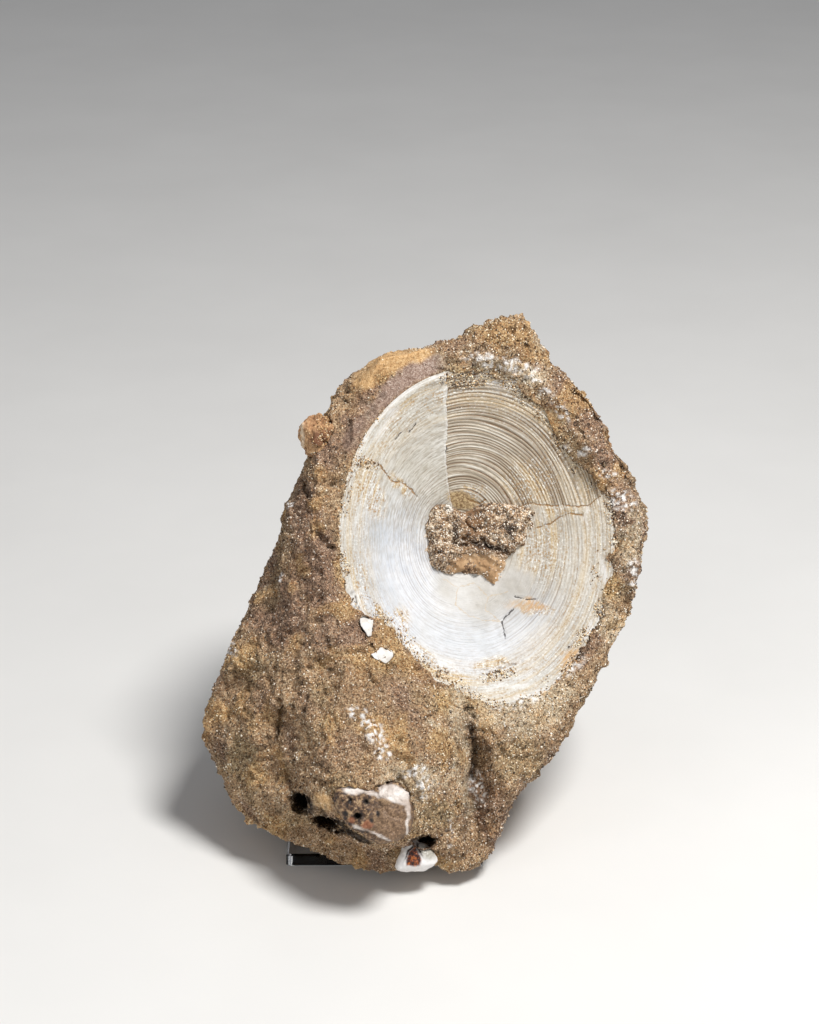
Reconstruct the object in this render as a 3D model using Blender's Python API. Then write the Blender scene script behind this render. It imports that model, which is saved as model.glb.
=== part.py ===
"""A fossil fish vertebra in its block of sandy rock, leaning back on a small clear stand.

The stone is modelled in a frame of its own, which then leans back: X runs across its face, Y up its
face and Z out of its face. All sizes below are in millimetres, and MM turns them into metres.
"""

import math

import bmesh
import bpy
import numpy as np
from mathutils import Vector, noise

MM = 0.001
GAP = 0.3
SHARP_ANGLE = math.radians(40)

# The stand: two clear plates, with the world's origin at the middle of the lower one's underside.
PLATE_WIDTH = 41.0
PLATE_DEPTH = 70.0
PLATE_THICKNESS = 3.0
PLATE_BEVEL = 0.4
BACK_HEIGHT = 54.0

# How the stone sits on the stand.
LEAN = math.radians(25)
UPWARDS = Vector((0.0, math.cos(LEAN), math.sin(LEAN)))
STONE_SIDEWAYS = 8.4
STONE_OVERHANG = 8.4

# The stone's outline seen square on to its face: (across, up), anticlockwise from the right.
OUTLINE = (
    (45.9, 72.2), (44.4, 78.2), (40.9, 83.7), (37.0, 88.8), (33.1, 96.9), (28.2, 101.2), (25.2, 106.9),
    (23.0, 112.7), (20.6, 115.5), (16.2, 115.4), (10.8, 113.6), (5.9, 110.4), (-1.8, 107.9),
    (-7.9, 107.5), (-13.9, 102.7), (-17.5, 99.3), (-21.6, 90.7), (-25.0, 82.0), (-28.6, 75.0),
    (-29.5, 68.0), (-33.7, 60.5), (-37.0, 52.7), (-41.1, 45.6), (-43.7, 37.3), (-46.1, 30.2),
    (-44.6, 23.2), (-41.7, 17.2), (-37.0, 11.2), (-32.2, 8.3), (-24.0, 5.2), (-20.4, 2.3),
    (-15.7, -0.3), (-10.2, -1.6), (-2.8, 0.4), (1.2, 2.2), (5.8, 0.0), (9.1, -0.8), (13.1, 2.7),
    (15.4, 7.7), (18.0, 14.9), (23.6, 21.8), (27.9, 27.1), (32.0, 34.5), (35.0, 39.6), (37.0, 45.4),
    (38.4, 50.5), (41.4, 53.6), (43.4, 58.1), (44.8, 65.2),
)
MIDDLE = Vector((0.0, 55.0))
BACK_LEVEL = -44.0
WIDEST_LEVEL = -16.0
FOOT_LEVEL = -5.0
FOOT_SPREAD = math.radians(38)
FRONT_POWER = 7.0
BACK_POWER = 2.6
FRONT_SHARE = 0.34
STONE_DETAIL = 5

# The vertebra: an oval disc, hollowed to an off-centre point, its face turned a little to the right.
VERTEBRA_AT = Vector((11.1, 68.9, 0.0))
VERTEBRA_TURN = math.radians(10)
VERTEBRA_ROLL = math.radians(3)
VERTEBRA_HALF_WIDTH = 29.2
VERTEBRA_HALF_HEIGHT = 35.3
VERTEBRA_THICKNESS = 17.0
HOLLOW_DEPTH = 12.5
HOLLOW_SHIFT = Vector((-2.4, -0.4))
HOLLOW_POWER = 1.15
SHARE_REPEATS = 12
WAIST = 0.93
BACK_RIM = 0.97
RIM_EDGE = -1.2
RINGS = 8
RING_HEIGHT = 0.35
RING_CREST = 0.25
RING_FOOT = 0.08
RIM_BAND = 0.2
COLUMNS = 44
UPRIGHT_CRACK = math.radians(102)
LEVEL_CRACK = math.radians(13)
CRACK_HALF_WIDTH = math.radians(0.5)
CRACK_STEP = 0.8
CRACK_STEP_LEAST = 0.25
CRACK_FADE = 6

# The edge of the rock that laps over the vertebra's rim, about the vertebra's middle: (across, up).
WINDOW = (
    (28.9, 5.7), (28.5, -0.8), (26.7, -6.6), (25.8, -13.7), (22.8, -20.5), (17.8, -28.7), (11.5, -33.2),
    (4.7, -34.9), (-2.3, -32.4), (-10.0, -28.1), (-15.0, -22.3), (-18.9, -16.6), (-25.4, -13.1),
    (-29.9, -8.4), (-30.4, 1.0), (-29.4, 9.2), (-27.0, 17.2), (-22.8, 25.9), (-16.4, 32.3), (-8.4, 36.4),
    (-0.8, 35.0), (7.0, 32.6), (13.7, 27.9), (18.0, 19.3), (22.8, 13.3), (27.3, 8.2),
)
WINDOW_DEPTH = 15.0
WINDOW_EDGE_DEPTH = 3.5
WINDOW_TOP = 30.0
CUTTER_COLUMNS = 36
CUTTER_SHARES = (0.0, 0.5, 0.8, 0.96)
CRUST = 1.6
LEAST_CRUST = 1.1
CRUST_EDGE = (1.0, 1.25)
CRUST_LIFT = 0.85

# Lumps and hollows of the rock face: (across, up, half width, half height, rise). Each has a flat middle.
FLAT_MIDDLE = 0.2
LUMPS = {
    "lower_bulge": (-11.0, 20.0, 20.0, 28.0, 11.5),
    "bulge_shoulder": (0.0, 28.0, 8.0, 12.0, 3.5),
    "right_shoulder": (21.0, 22.0, 14.0, 20.0, 3.5),
    "bulge_groove": (9.8, 18.0, 4.6, 16.0, -6.0),
    "left_flank": (-33.0, 33.0, 15.0, 22.0, 3.0),
    "flank_groove": (-29.0, 27.0, 3.2, 14.0, -3.4),
    "top_peak": (17.0, 112.0, 12.0, 9.0, 3.0),
    "top_left_ledge": (-6.0, 106.0, 12.0, 6.0, 3.2),
    "rim_groove": (-13.5, 93.0, 7.5, 12.0, -3.5),
    "right_rim_knob": (34.5, 86.0, 9.0, 9.0, 3.0),
    "right_rim_bulge": (43.0, 66.0, 6.5, 15.0, 2.6),
    "left_edge_pits": (-27.0, 79.0, 3.5, 3.5, -3.5),
}
LEFT_FALL = 18.0
LEFT_FALL_ACROSS = (17.0, 46.0)
SMOOTH_RELIEF = {15.0: 1.3}
CREASED_RELIEF = {9.0: 5.0, 5.0: 2.4}
OUTLINE_RELIEF = 0.4
RELIEF_FROM_FOOT = 9.0
FOOT_SOFTNESS = 0.5

# The bulge's broken lower edge, (across, up) from left to right, and the level of the ledge below it.
LEDGE = (
    (-34.0, 18.0), (-28.0, 16.5), (-22.0, 13.0), (-16.0, 11.0), (-9.0, 8.6), (-3.0, 7.4), (2.0, 8.0),
    (6.0, 1.5),
)
LEDGE_LEVEL = 0.5
LEDGE_SLOPE = 2.5
LEDGE_LEFT = (-34.0, -28.0)
LEDGE_RIGHT = (-6.0, -2.0)

# Caves under the bulge, and small holes over the vertebra's rim: (across, up, out), half sizes.
CAVES = {
    "cave_left": ((-25.3, 15.4, 5.0), (2.5, 2.6, 8.0)),
    "cave_middle": ((-19.6, 12.0, 5.0), (3.4, 2.2, 9.0)),
    "cave_right": ((-0.3, 7.9, 3.0), (2.5, 1.6, 7.0)),
    "rim_window_upper": ((-12.1, 51.1, 4.0), (1.3, 2.1, 2.6)),
    "rim_window_lower": ((-8.8, 45.3, 4.0), (1.9, 1.4, 2.6)),
}

# Pieces set in the rock: their place, the outline seen from the front, how thick they are and how flat
# their faces are, from 2 for a round pebble upwards.
BONE_AT = (-10.1, 14.1, 14.0)
BONE_OUTLINE = (
    (-7.6, 6.0), (-5.6, 6.3), (-1.7, 5.3), (0.9, 5.9), (4.9, 6.0), (6.5, 3.9), (6.5, -2.4), (5.2, -4.0),
    (2.2, -4.6), (-2.2, -2.4), (-5.6, -0.3), (-7.5, 3.0),
)
BONE_THICKNESS = 10.0
BONE_FLATNESS = 6.0
BONE_PORES = {"pore_upper": (-1.6, 3.4, 0.9), "pore_lower": (-3.3, 0.5, 1.1), "pore_left": (-4.6, 3.7, 0.7)}
TOOTH_AT = (-2.0, 4.4, 2.4)
TOOTH_OUTLINE = (
    (-0.8, 3.6), (0.6, 2.6), (2.6, 1.6), (4.2, -0.8), (3.4, -2.0), (0.6, -2.8), (-2.0, -2.8), (-3.8, -2.2),
    (-2.6, 0.6),
)
TOOTH_THICKNESS = 5.0
TOOTH_FLATNESS = 3.0
NODULE_AT = (-22.0, 90.3, 1.5)
NODULE_OUTLINE = (
    (2.8, 1.0), (2.0, 3.6), (0.0, 4.4), (-2.0, 3.8), (-3.2, 1.6), (-3.2, -1.6), (-1.8, -4.2), (0.6, -4.8),
    (2.4, -3.0),
)
NODULE_THICKNESS = 9.0
NODULE_FLATNESS = 2.2
CHIP_RELIEF = 0.12

# The rock left in the hollow: its outline about the vertebra's middle, and its height.
FILL_AT = Vector((0.4, -0.6))
FILL_OUTLINE = (
    (12.2, 6.4), (7.0, 7.4), (2.0, 8.2), (-2.4, 5.6), (-8.4, 9.2), (-10.8, 5.6), (-11.0, -4.6), (-9.4, -6.4),
    (-4.2, -6.2), (0.0, -6.6), (3.4, -9.6), (6.0, -5.0), (10.0, -2.4),
)
FILL_RISE = 3.8
FILL_RELIEF = 0.9
FILL_LUMPS = 4.0
FILL_CLEARANCE = 0.5


def smooth_step(low, high, value):
    share = min(max((value - low) / (high - low), 0.0), 1.0)
    return share * share * (3 - 2 * share)


def rough(point, size, octaves=3):
    """Smooth relief of about -1 to 1 whose largest lumps are size across."""
    return noise.fractal(point / size, 1.0, 2.0, octaves)


def creased(point, size, octaves=2):
    """Relief of about -0.5 to 0.5 with rounded lumps and sharp creases between them."""
    return 0.5 - noise.turbulence(point / size, octaves, True)


def along(points, across):
    """The height at across of a line through points, which run from left to right."""
    return float(np.interp(across, *zip(*points)))


def reach(outline, middle, angle):
    """How far the outline is from middle in the direction of angle."""
    spokes = [Vector(point) - middle for point in outline]
    angles = [math.atan2(spoke.y, spoke.x) for spoke in spokes]
    return float(np.interp(angle, angles, [spoke.length for spoke in spokes], period=math.tau))


def lump(across, up, shape):
    middle_across, middle_up, half_width, half_height, rise = shape
    distance = math.hypot((across - middle_across) / half_width, (up - middle_up) / half_height)
    return rise * (1 - smooth_step(FLAT_MIDDLE, 1.0, distance))


def hollow_level(share):
    """The height of the vertebra's face, from 0 at its rim down to the middle of the hollow."""
    return -HOLLOW_DEPTH * (1 - min(share, 1.0) ** HOLLOW_POWER)


def share_at(point):
    """The share of the rim's distance at which a point of the vertebra's face lies."""
    share = 0.5
    for _ in range(SHARE_REPEATS):
        moved = point - HOLLOW_SHIFT * (1 - share)
        share = math.hypot(moved.x / VERTEBRA_HALF_WIDTH, moved.y / VERTEBRA_HALF_HEIGHT)
    return share


def vertebra_level(beside):
    """How far the vertebra's turned face stands out, beside its middle."""
    return hollow_level(share_at(beside)) - math.tan(VERTEBRA_TURN) * beside.x


def face_level(across, up):
    """How far the rock's face stands out at a point, before the rounding towards its outline."""
    level = CRUST + vertebra_level(Vector((across, up)) - VERTEBRA_AT.xy)
    level -= LEFT_FALL * smooth_step(*LEFT_FALL_ACROSS, -across)
    level += sum(lump(across, up, shape) for shape in LUMPS.values())
    on_ledge = smooth_step(0.0, LEDGE_SLOPE, along(LEDGE, across) - up)
    on_ledge *= smooth_step(*LEDGE_LEFT, across) * smooth_step(*LEDGE_RIGHT, -across)
    return level + (LEDGE_LEVEL - level) * on_ledge


def widest_level(angle):
    """The level of the outline: set back, except at the foot, where the stone overhangs."""
    from_foot = abs(math.remainder(angle + math.pi / 2, math.tau))
    return FOOT_LEVEL + (WIDEST_LEVEL - FOOT_LEVEL) * smooth_step(0.0, FOOT_SPREAD, from_foot)


def rock_point(direction):
    """Where a point of the unit sphere goes on the rock. The front takes the larger share of the sphere."""
    split = -FRONT_SHARE
    in_front = direction.z > split
    depth = (direction.z - split) / ((1 - split) if in_front else -(1 + split))
    spread = math.sqrt(max(1 - depth * depth, 0.0))
    power = FRONT_POWER if in_front else BACK_POWER
    swell = (spread**power + depth**power) ** (-1 / power)
    angle = math.atan2(direction.y, direction.x)
    outward = Vector((math.cos(angle), math.sin(angle)))
    flat = MIDDLE + outward * reach(OUTLINE, MIDDLE, angle) * spread * swell
    middle_level = widest_level(angle)
    far_level = face_level(*flat) if in_front else BACK_LEVEL
    point = Vector((*flat, middle_level + depth * swell * (far_level - middle_level)))
    normal = Vector((*(outward * spread * OUTLINE_RELIEF), depth if in_front else -depth))
    relief = sum(height * rough(point, size) for size, height in SMOOTH_RELIEF.items())
    relief += sum(height * creased(point, size) for size, height in CREASED_RELIEF.items())
    point += normal * relief * smooth_step(0.0, RELIEF_FROM_FOOT, point.dot(UPWARDS))
    return cover_vertebra(point) if in_front else point


def cover_vertebra(point):
    """Lifts the rock's face where it would lie below the vertebra's."""
    beside = point.xy - VERTEBRA_AT.xy
    share = share_at(beside)
    least = vertebra_level(beside) + RING_HEIGHT + LEAST_CRUST
    point.z += CRUST_LIFT * max(least - point.z, 0.0) * (1 - smooth_step(*CRUST_EDGE, share))
    return point


def set_down(point):
    """Flattens the rock where it leans on the stand's back and where it rests on the stand's base."""
    point.z = max(point.z, BACK_LEVEL)
    height = point.dot(UPWARDS)
    flattened = FOOT_SOFTNESS * math.log1p(math.exp(height / FOOT_SOFTNESS))
    return point + UPWARDS * (flattened - height)


def material(name, colour, roughness, alpha=1.0):
    made = bpy.data.materials.new(name)
    made.use_nodes = True
    shader = made.node_tree.nodes["Principled BSDF"]
    shader.inputs["Base Color"].default_value = (*colour, 1.0)
    shader.inputs["Roughness"].default_value = roughness
    shader.inputs["Metallic"].default_value = 0.0
    shader.inputs["Alpha"].default_value = alpha
    return made


def add_object(name, shape, parent, collection, surface=None):
    """An object whose mesh is the given bmesh, in millimetres. With no surface it is a cutter."""
    bmesh.ops.recalc_face_normals(shape, faces=shape.faces)
    bmesh.ops.scale(shape, vec=(MM, MM, MM), verts=shape.verts)
    mesh = bpy.data.meshes.new(name)
    shape.to_mesh(mesh)
    shape.free()
    made = bpy.data.objects.new(name, mesh)
    made.parent = parent
    collection.objects.link(made)
    if surface:
        mesh.materials.append(surface)
        mesh.shade_smooth()
        mesh.set_sharp_from_angle(angle=SHARP_ANGLE)
    else:
        made.hide_render = True
        made.display_type = "WIRE"
    return made


def cut(solid, cutter):
    step = solid.modifiers.new(cutter.name, "BOOLEAN")
    step.operation = "DIFFERENCE"
    step.object = cutter


def shaped_ball(detail, reshape):
    """An icosphere, each of whose points is moved to reshape(its direction)."""
    shape = bmesh.new()
    bmesh.ops.create_icosphere(shape, subdivisions=detail, radius=1.0)
    for vert in shape.verts:
        vert.co = reshape(vert.co.normalized())
    return shape


def turned(profile, columns):
    """The profile, as (share, level) points, spun into a disc of radius 1."""
    shape = bmesh.new()
    verts = [shape.verts.new((share, 0.0, level)) for share, level in profile]
    edges = [shape.edges.new(pair) for pair in zip(verts, verts[1:])]
    turn = {"cent": (0.0, 0.0, 0.0), "axis": (0.0, 0.0, 1.0), "angle": math.tau}
    bmesh.ops.spin(shape, geom=verts + edges, steps=columns, use_merge=True, **turn)
    bmesh.ops.remove_doubles(shape, verts=shape.verts, dist=1e-5)
    return shape


def add_pocket(piece, rock, cutters):
    """Cuts the rock away round a piece that sits in it, leaving the gap."""
    pocket = bpy.data.objects.new(piece.name + "_pocket", piece.data.copy())
    pocket.parent = piece.parent
    pocket.location = piece.location
    pocket.hide_render = True
    pocket.display_type = "WIRE"
    cutters.objects.link(pocket)
    grow = pocket.modifiers.new("gap", "DISPLACE")
    grow.mid_level = 0.0
    grow.strength = GAP * MM
    cut(rock, pocket)


def add_rock(parent, parts):
    surface = material("sandy_rock", (0.36, 0.22, 0.12), 0.95)
    shape = shaped_ball(STONE_DETAIL, lambda direction: set_down(rock_point(direction)))
    return add_object("rock_matrix", shape, parent, parts, surface)


def place_on_vertebra(piece):
    piece.location = VERTEBRA_AT * MM
    piece.rotation_mode = "ZYX"
    piece.rotation_euler = (0.0, VERTEBRA_TURN, VERTEBRA_ROLL)


def oval(share, angle):
    """A point of the vertebra's oval at share of its rim; the rings' centre is off the rim's."""
    rim = Vector((VERTEBRA_HALF_WIDTH * math.cos(angle), VERTEBRA_HALF_HEIGHT * math.sin(angle)))
    return rim * share + HOLLOW_SHIFT * (1 - share)


def column_angle(angle):
    """Draws the two columns beside each crack close to it, so that its step is sharp."""
    for crack in (UPRIGHT_CRACK, LEVEL_CRACK):
        away = math.remainder(angle - crack, math.tau)
        if abs(away) < math.tau / COLUMNS:
            return crack + math.copysign(CRACK_HALF_WIDTH, away)
    return angle


def sunk(share, angle):
    """How much the plate between the two cracks has sunk: all at the upright crack, less at the other."""
    turn = (angle - LEVEL_CRACK) % math.tau / (UPRIGHT_CRACK - LEVEL_CRACK)
    if turn > 1:
        return 0.0
    return (CRACK_STEP_LEAST + (CRACK_STEP - CRACK_STEP_LEAST) * turn) * (1 - share**CRACK_FADE)


def ringed_face():
    """The turned profile of the hollow, from its middle to the rim, with a ridge at each growth ring."""
    face = [(0.0, hollow_level(0.0))]
    for ring in range(1, RINGS + 1):
        crest = (ring - RING_CREST) / (RINGS + RIM_BAND)
        foot = (ring + RING_FOOT) / (RINGS + RIM_BAND)
        face += [(crest, hollow_level(crest) + RING_HEIGHT), (foot, hollow_level(foot))]
    return face


def plain_face(margin):
    """The hollow without its ridges, margin clear of their tops."""
    return [(share, hollow_level(share) + RING_HEIGHT + margin) for share in CUTTER_SHARES]


def sides_and_back(margin=0.0):
    """The turned profile from the rim round to the middle of the back."""
    low = -VERTEBRA_THICKNESS
    profile = [(1.0, margin), (1.0, RIM_EDGE), (WAIST, low / 2), (BACK_RIM, low - margin)]
    wider = margin / VERTEBRA_HALF_WIDTH
    return [(share + wider, level) for share, level in profile] + [(0.0, low - margin)]


def add_vertebra(parent, parts):
    shape = turned(ringed_face() + sides_and_back(), COLUMNS)
    for vert in shape.verts:
        share = math.hypot(vert.co.x, vert.co.y)
        angle = column_angle(math.atan2(vert.co.y, vert.co.x))
        on_face = vert.co.z > hollow_level(share) - RING_HEIGHT
        level = vert.co.z - (sunk(share, angle) if on_face else 0.0)
        vert.co = (*oval(share, angle), level)
    made = add_object("vertebra", shape, parent, parts, material("bone", (0.78, 0.74, 0.66), 0.6))
    place_on_vertebra(made)


def add_vertebra_pocket(parent, cutters):
    shape = turned(plain_face(GAP) + sides_and_back(GAP), CUTTER_COLUMNS)
    for vert in shape.verts:
        share = math.hypot(vert.co.x, vert.co.y)
        vert.co = (*oval(share, math.atan2(vert.co.y, vert.co.x)), vert.co.z)
    made = add_object("vertebra_pocket", shape, parent, cutters)
    place_on_vertebra(made)
    return made


def add_window(parent, cutters):
    """The open space in front of the vertebra, as far as the rock's edge over its rim."""
    profile = [(0.0, WINDOW_TOP), (1.0, WINDOW_TOP), (1.0, -WINDOW_EDGE_DEPTH), (0.0, -WINDOW_DEPTH)]
    shape = turned(profile, CUTTER_COLUMNS)
    for vert in shape.verts:
        share = math.hypot(vert.co.x, vert.co.y)
        angle = math.atan2(vert.co.y, vert.co.x)
        edge = Vector((math.cos(angle), math.sin(angle))) * reach(WINDOW, Vector((0.0, 0.0)), angle)
        vert.co = (*(edge * share), vert.co.z)
    made = add_object("rock_window", shape, parent, cutters)
    place_on_vertebra(made)
    return made


def fill_point(direction):
    """The lump left in the hollow: flat below, where it follows the hollow, and rough above."""
    angle = math.atan2(direction.y, direction.x)
    spread = math.hypot(direction.x, direction.y) * reach(FILL_OUTLINE, Vector((0.0, 0.0)), angle)
    flat = FILL_AT + Vector((math.cos(angle), math.sin(angle))) * spread
    floor = hollow_level(share_at(flat)) + RING_HEIGHT + FILL_CLEARANCE
    rise = FILL_RISE * (1 + FILL_RELIEF * creased(flat.to_3d(), FILL_LUMPS))
    return Vector((*flat, floor + rise * max(direction.z, 0.0)))


def add_cone_fill(parent, parts):
    surface = material("rock_in_hollow", (0.40, 0.26, 0.15), 0.95)
    made = add_object("cone_fill", shaped_ball(3, fill_point), parent, parts, surface)
    place_on_vertebra(made)


def chip(detail, place, outline, thickness, flatness):
    """A rough chip whose outline, seen from the front, is the given one."""

    def chip_point(direction):
        depth = abs(direction.z)
        spread = math.hypot(direction.x, direction.y)
        swell = (spread**flatness + depth**flatness) ** (-1 / flatness)
        angle = math.atan2(direction.y, direction.x)
        width = reach(outline, Vector((0.0, 0.0)), angle) * spread * swell
        level = direction.z * swell * thickness / 2
        point = Vector((width * math.cos(angle), width * math.sin(angle), level))
        return point * (1 + CHIP_RELIEF * rough(point + Vector(place), thickness / 2))

    return shaped_ball(detail, chip_point)


def add_chip(name, place, shape, surface, parent, parts):
    made = add_object(name, shape, parent, parts, surface)
    made.location = Vector(place) * MM
    return made


def add_ball_cutter(name, place, half_sizes, parent, cutters):
    made = add_object(name, shaped_ball(2, lambda direction: direction * Vector(half_sizes)), parent, cutters)
    made.location = Vector(place) * MM
    return made


def add_bone(parent, parts, cutters):
    surface = material("spongy_bone", (0.42, 0.27, 0.17), 0.8)
    shape = chip(3, BONE_AT, BONE_OUTLINE, BONE_THICKNESS, BONE_FLATNESS)
    bone = add_chip("bone_fragment", BONE_AT, shape, surface, parent, parts)
    for name, (across, up, radius) in BONE_PORES.items():
        place = Vector(BONE_AT) + Vector((across, up, BONE_THICKNESS / 2))
        cut(bone, add_ball_cutter(name, place, (radius, radius, 2 * radius), parent, cutters))
    return bone


def add_tooth(parent, parts):
    surface = material("white_enamel", (0.85, 0.82, 0.76), 0.4)
    shape = chip(3, TOOTH_AT, TOOTH_OUTLINE, TOOTH_THICKNESS, TOOTH_FLATNESS)
    return add_chip("tooth_fragment", TOOTH_AT, shape, surface, parent, parts)


def add_nodule(parent, parts):
    surface = material("orange_clay", (0.62, 0.38, 0.20), 0.7)
    shape = chip(2, NODULE_AT, NODULE_OUTLINE, NODULE_THICKNESS, NODULE_FLATNESS)
    return add_chip("orange_nodule", NODULE_AT, shape, surface, parent, parts)


def plate(size, end_slope=0.0):
    """A plate with small bevels, whose end at -Y can slope to stand flat when the plate leans."""
    shape = bmesh.new()
    bmesh.ops.create_cube(shape, size=1.0)
    bmesh.ops.scale(shape, vec=size, verts=shape.verts)
    for vert in shape.verts:
        if vert.co.y < 0:
            vert.co.y -= (vert.co.z + size[2] / 2) * end_slope
    bmesh.ops.bevel(shape, geom=shape.edges[:], offset=PLATE_BEVEL, segments=1, affect="EDGES")
    return shape


def add_stand(leaning, parts):
    surface = material("clear_plastic", (0.9, 0.95, 0.97), 0.05, alpha=0.3)
    base = add_object("stand_base", plate((PLATE_WIDTH, PLATE_DEPTH, PLATE_THICKNESS)), None, parts, surface)
    base.location = Vector((0.0, 0.0, PLATE_THICKNESS / 2)) * MM
    slope = math.tan(LEAN)
    upright = plate((PLATE_WIDTH, BACK_HEIGHT, PLATE_THICKNESS), slope)
    back = add_object("stand_back", upright, leaning, parts, surface)
    level = BACK_LEVEL - GAP - PLATE_THICKNESS / 2
    foot = -(level - PLATE_THICKNESS / 2) * slope
    back.location = Vector((-STONE_SIDEWAYS, foot + BACK_HEIGHT / 2, level)) * MM


def add_leaning_frame(parts):
    """The stone's own frame, with its origin at the foot of the face, just above the stand's top."""
    frame = bpy.data.objects.new("leaning_frame", None)
    parts.objects.link(frame)
    frame.location = Vector((STONE_SIDEWAYS, -PLATE_DEPTH / 2 - STONE_OVERHANG, PLATE_THICKNESS + GAP)) * MM
    frame.rotation_euler = (math.pi / 2 - LEAN, 0.0, 0.0)
    return frame


def clear_scene():
    for item in list(bpy.data.objects):
        bpy.data.objects.remove(item)


def new_collection(name):
    made = bpy.data.collections.new(name)
    bpy.context.scene.collection.children.link(made)
    return made


def main():
    clear_scene()
    parts = new_collection("fossil_vertebra")
    cutters = new_collection("cutters")

    leaning = add_leaning_frame(parts)
    add_stand(leaning, parts)
    rock = add_rock(leaning, parts)
    add_vertebra(leaning, parts)
    cut(rock, add_vertebra_pocket(leaning, cutters))
    cut(rock, add_window(leaning, cutters))
    for name, (place, half_sizes) in CAVES.items():
        cut(rock, add_ball_cutter(name, place, half_sizes, leaning, cutters))
    add_cone_fill(leaning, parts)

    bone = add_bone(leaning, parts, cutters)
    for piece in (bone, add_tooth(leaning, parts), add_nodule(leaning, parts)):
        add_pocket(piece, rock, cutters)


main()
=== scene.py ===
import math

import bmesh
import bpy
import numpy as np
from mathutils import Matrix, Vector
from mathutils.bvhtree import BVHTree


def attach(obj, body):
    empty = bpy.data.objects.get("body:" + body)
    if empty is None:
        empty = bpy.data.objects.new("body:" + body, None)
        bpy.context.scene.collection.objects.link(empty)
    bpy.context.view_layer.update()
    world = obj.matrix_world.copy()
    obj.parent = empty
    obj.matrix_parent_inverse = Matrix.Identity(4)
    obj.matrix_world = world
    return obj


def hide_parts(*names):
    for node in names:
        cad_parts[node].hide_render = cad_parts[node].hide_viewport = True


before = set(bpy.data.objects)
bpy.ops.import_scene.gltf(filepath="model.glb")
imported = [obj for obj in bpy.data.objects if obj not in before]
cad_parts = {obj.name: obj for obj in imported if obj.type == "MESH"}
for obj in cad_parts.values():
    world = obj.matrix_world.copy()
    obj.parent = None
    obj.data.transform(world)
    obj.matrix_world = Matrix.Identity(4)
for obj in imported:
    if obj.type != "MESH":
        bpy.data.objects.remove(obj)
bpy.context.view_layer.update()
MM = 0.001

# The stone's own leaning frame, in millimetres: X across its face, Y up its face, Z out of its face.
LEAN = math.radians(25)
FACE = Matrix.Translation(Vector((8.4, -43.4, 3.3)) * MM) @ Matrix.Rotation(math.pi / 2 - LEAN, 4, "X")
FACE = np.array(FACE @ Matrix.Scale(MM, 4))
FACE_BACK = np.linalg.inv(FACE)

# The vertebra's frame in the leaning frame, its oval and its hollow.
VERTEBRA_AT = (11.1, 68.9, 0)
VERTEBRA_TURN = math.radians(10)
VERTEBRA_ROLL = math.radians(3)
HALF_WIDTH = 29.2
HALF_HEIGHT = 35.3
HOLLOW_DEPTH = 12.5
HOLLOW_SHIFT = np.array((-2.4, -0.4))
HOLLOW_POWER = 1.15
DISC = Matrix.Translation(VERTEBRA_AT) @ Matrix.Rotation(VERTEBRA_TURN, 4, "Y")
DISC = np.array(DISC @ Matrix.Rotation(VERTEBRA_ROLL, 4, "Z"))
DISC_BACK = np.linalg.inv(DISC)


# ---------------------------------------------------------------- numbers


def moved(matrix, points):
    return points @ matrix[:3, :3].T + matrix[:3, 3]


def turned(matrix, directions):
    out = directions @ matrix[:3, :3].T
    return out / np.linalg.norm(out, axis=1, keepdims=True)


def smooth_step(low, high, value):
    share = np.clip((value - low) / (high - low), 0.0, 1.0)
    return share * share * (3 - 2 * share)


def band(low, low_full, high_full, high, value):
    """1 from low_full to high_full, 0 below low and above high."""
    return smooth_step(low, low_full, value) * (1 - smooth_step(high_full, high, value))


def mixed(a, b, share):
    return a + (b - a) * share


def on_plane(spot):
    """Flat points as points in space."""
    return np.pad(spot, ((0, 0), (0, 1)))


def hashed(cell, seed):
    """A fixed random whole number for each lattice cell."""
    cell = cell.astype(np.int64).astype(np.uint32)
    h = cell[..., 0] * np.uint32(374761393) + cell[..., 1] * np.uint32(668265263)
    h = h + cell[..., 2] * np.uint32(1440662683) + np.uint32(seed * 1013904223 % 2**32)
    h = (h ^ (h >> np.uint32(13))) * np.uint32(1274126177)
    h = (h ^ (h >> np.uint32(15))) * np.uint32(2246822519)
    return h ^ (h >> np.uint32(16))


def triple(h):
    """Three numbers from -1 to 1 for each hashed number."""
    parts = [(h >> np.uint32(shift)) & np.uint32(1023) for shift in (0, 10, 20)]
    return np.stack(parts, -1) / 511.5 - 1.0


def noise(points, size, seed):
    """Smooth gradient noise of about -1 to 1, whose lumps are size across."""
    spot = points / size
    cell = np.floor(spot)
    inside = spot - cell
    fade = inside**3 * (inside * (inside * 6 - 15) + 10)
    total = np.zeros(len(points))
    for corner in np.ndindex(2, 2, 2):
        corner = np.array(corner)
        weight = np.prod(np.where(corner == 1, fade, 1 - fade), axis=1)
        total += weight * np.sum(triple(hashed(cell + corner, seed)) * (inside - corner), axis=1)
    return total * 1.5


def rough(points, size, seed, octaves=2):
    """Layers of noise, each with half the size and the strength of the last."""
    return sum(noise(points, size / 2**octave, seed + octave) / 2**octave for octave in range(octaves))


def ridged(points, size, seed):
    """Lumps with sharp creases between them, about -0.5 to 0.5."""
    return np.abs(noise(points, size, seed)) + np.abs(noise(points, size / 2, seed + 1)) / 2 - 0.45


def sway(points, size, seed):
    """Two noises, which make an outline waver when they shift the flat spots that it is drawn at."""
    return np.stack([noise(points, size, seed), noise(points, size, seed + 1)], 1)


def pebbles(points, size, seed):
    """The distance to the nearest of a scatter of points, 0 at one and about 1 between them."""
    spot = points / size
    cell = np.floor(spot)
    nearest = np.full(len(points), 9.0)
    for step in np.ndindex(3, 3, 3):
        at = cell + np.array(step) - 1
        offset = at + 0.5 + 0.42 * triple(hashed(at, seed)) - spot
        nearest = np.minimum(nearest, np.sum(offset**2, axis=1))
    return np.sqrt(nearest)


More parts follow.
